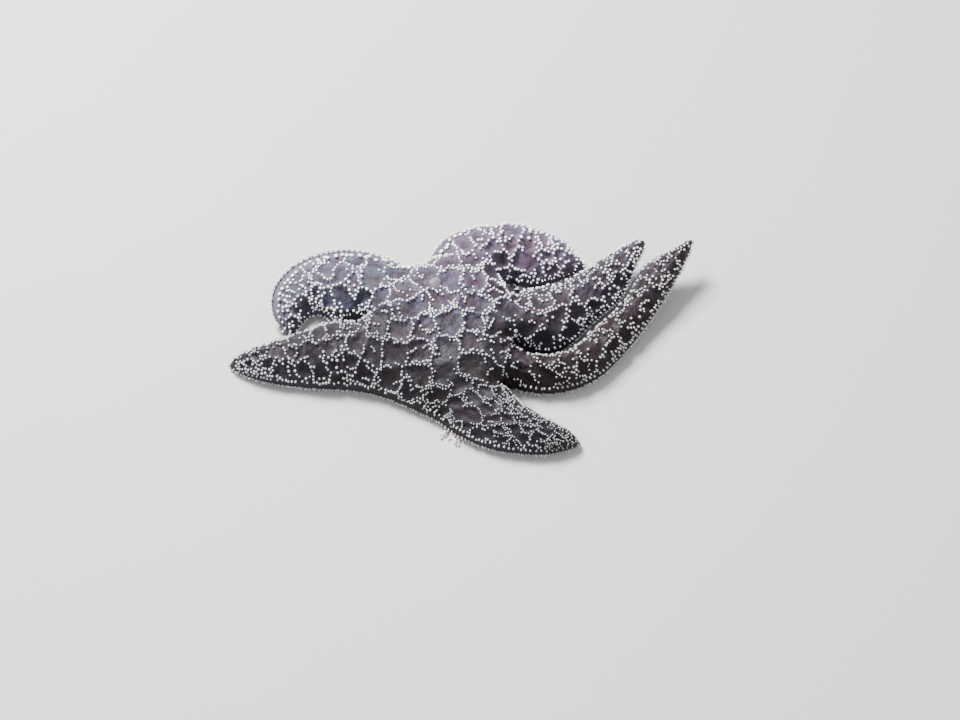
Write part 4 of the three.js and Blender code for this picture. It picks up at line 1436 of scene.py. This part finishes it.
def buildMouth():
    # A closed profile turned about the upright axis. Its height has cosine folds that fade outwards.
    profile = np.array(mouth["profile"])
    spokes, count = mouth["spokes"], len(profile)
    spin = 2 * np.pi * np.arange(spokes)[None, :] / spokes
    radius, height = profile[:, :1], profile[:, 1:]
    folds = mouth["foldDepth"] * np.cos(mouth["folds"] * spin)
    folds = folds * smooth((mouth["foldFrom"] - radius) / mouth["foldOver"]) * (height < mouth["foldBelow"])
    ring = np.stack([radius * np.cos(spin), radius * np.sin(spin), height + folds], -1).reshape(-1, 3)
    k, j = np.meshgrid(np.arange(count), np.arange(spokes), indexing="ij")
    a, b = k * spokes + j, k * spokes + (j + 1) % spokes
    c, d = (k + 1) % count * spokes + (j + 1) % spokes, (k + 1) % count * spokes + j
    ringFaces = np.concatenate([np.stack(three, -1).reshape(-1, 3) for three in ((a, c, b), (a, d, c))])
    return ring + np.array([*form["seat"], 0]), ringFaces


def mouthFinish():
    # Two skin tones in clouds.
    f = Finish("mouth")
    fine = f.noise(500, 3.0)
    colour = f.blend(f.ramp(fine, 0.35, 0.65), *mouth["skin"])
    return f.surface({"Base Color": colour, "Roughness": 0.4, "Normal": f.bump(fine, 0.4, 0.0003)})


mouthPoints, mouthFaces = buildMouth()
mouthPiece = makePiece("mouth_lips", mouthPoints, mouthFaces, mouthFinish())
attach(mouthPiece, "root")
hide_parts("mouth")
turn = 2 * np.pi * (np.arange(mouth["spines"]) + 0.5)[:, None] / mouth["spines"]
ring = np.hstack([np.cos(turn), np.sin(turn), np.zeros_like(turn)])
oralRoots = np.array([*form["seat"], mouth["spineHeight"]]) + mouth["spineRing"] * ring
strew("oral_spines", spine, oralRoots, unit(-ring + mouth["spineDroop"] * down),
      np.full(len(ring), mouth["spineWide"]), np.full(len(ring), mouth["spineTall"]), mapBelow(oralRoots),
      beadMaterial, fields={"tone": draw.random(len(ring)), "light": np.full(len(ring), mouth["spineLight"])})


# A bunch of tube feet that reach out from under the lower arm.
bunch = {  # millimetres
    "arm": 1, "from": 42.0, "to": 46.5, "count": 13, "uneven": 0.3, "inside": 1.6, "root": 1.7,
    "long": (3.5, 7.0), "fan": 0.8, "curl": 1.9, "endHeight": (0.5, 1.6), "arch": 1.4,
    "wide": 0.40, "taper": 0.25, "sucker": 1.1, "suckerFrom": 0.86, "suckerOver": 0.12,
    "wrinkle": 0.08, "wrinkles": 40, "dome": 0.1, "rings": 14, "sides": 7,
}


def buildReaching():
    # Each foot leaves the edge, sinks to the floor along a smooth curve and ends in a flared sucker.
    # Its heading turns in proportion to the way gone, and its points are the summed steps.
    arm, count, rings, sides = arms[bunch["arm"]], bunch["count"], bunch["rings"], bunch["sides"]
    start = np.linspace(bunch["from"], bunch["to"], count)
    start = start + draw.uniform(-bunch["uneven"], bunch["uneven"], count)
    aside = -(halfWidth(arm, np.zeros(count, bool), start) - bunch["inside"])
    rootPoints = toPoints(arm, start, aside, np.full(count, bunch["root"]))
    heading = pathAt(arm, start)[2] - np.pi / 2 + draw.normal(0, bunch["fan"], count)
    share = np.linspace(0, 1, rings)[None, :]
    long = draw.uniform(*bunch["long"], count)[:, None]
    sway = heading[:, None] + draw.normal(0, bunch["curl"], count)[:, None] * share
    step = long / (rings - 1)
    x = rootPoints[:, :1] + np.cumsum(step * np.cos(sway), axis=1) - step * np.cos(sway[:, :1])
    y = rootPoints[:, 1:2] + np.cumsum(step * np.sin(sway), axis=1) - step * np.sin(sway[:, :1])
    z = mix(bunch["root"], draw.uniform(*bunch["endHeight"], count)[:, None], smooth(share))
    z = z + draw.uniform(0, bunch["arch"], count)[:, None] * share * (1 - share) * 2
    line = np.stack([x, y, np.maximum(z, bunch["wide"])], -1)
    ahead = unit(np.gradient(line, axis=1))
    side = unit(np.cross(ahead, down))
    above = np.cross(side, ahead)
    flare = bunch["sucker"] * smooth((share - bunch["suckerFrom"]) / bunch["suckerOver"])
    radius = bunch["wide"] * (1 - bunch["taper"] * share + flare)
    radius = radius * (1 + bunch["wrinkle"] * np.cos(bunch["wrinkles"] * share))
    spin = (2 * np.pi * np.arange(sides) / sides)[None, None, :, None]
    ringWays = side[:, :, None] * np.cos(spin) + above[:, :, None] * np.sin(spin)
    tube = line[:, :, None] + radius[:, :, None, None] * ringWays
    tube[..., 2] = np.maximum(tube[..., 2], aboveFloor)
    ends = np.stack([line[:, 0], line[:, -1] + bunch["dome"] * ahead[:, -1]], 1)
    points = np.concatenate([tube.reshape(count, -1, 3), ends], 1)
    tip = np.concatenate([np.repeat(np.broadcast_to(share, (count, rings)), sides, axis=1),
                          np.tile([0.0, 1.0], (count, 1))], axis=1)
    return points.reshape(-1, 3), repeated(tubeFaces(rings, sides), count, points.shape[1]), tip.ravel()


reachPoints, reachFaces, reachTip = buildReaching()
reachMap = mapBelow(reachPoints)[reachFaces]
reachPiece = makePiece("reaching_feet", reachPoints, reachFaces, footMaterial, {"tip": reachTip}, reachMap)
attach(reachPiece, "root")
print("reaching feet have", len(reachFaces), "faces")
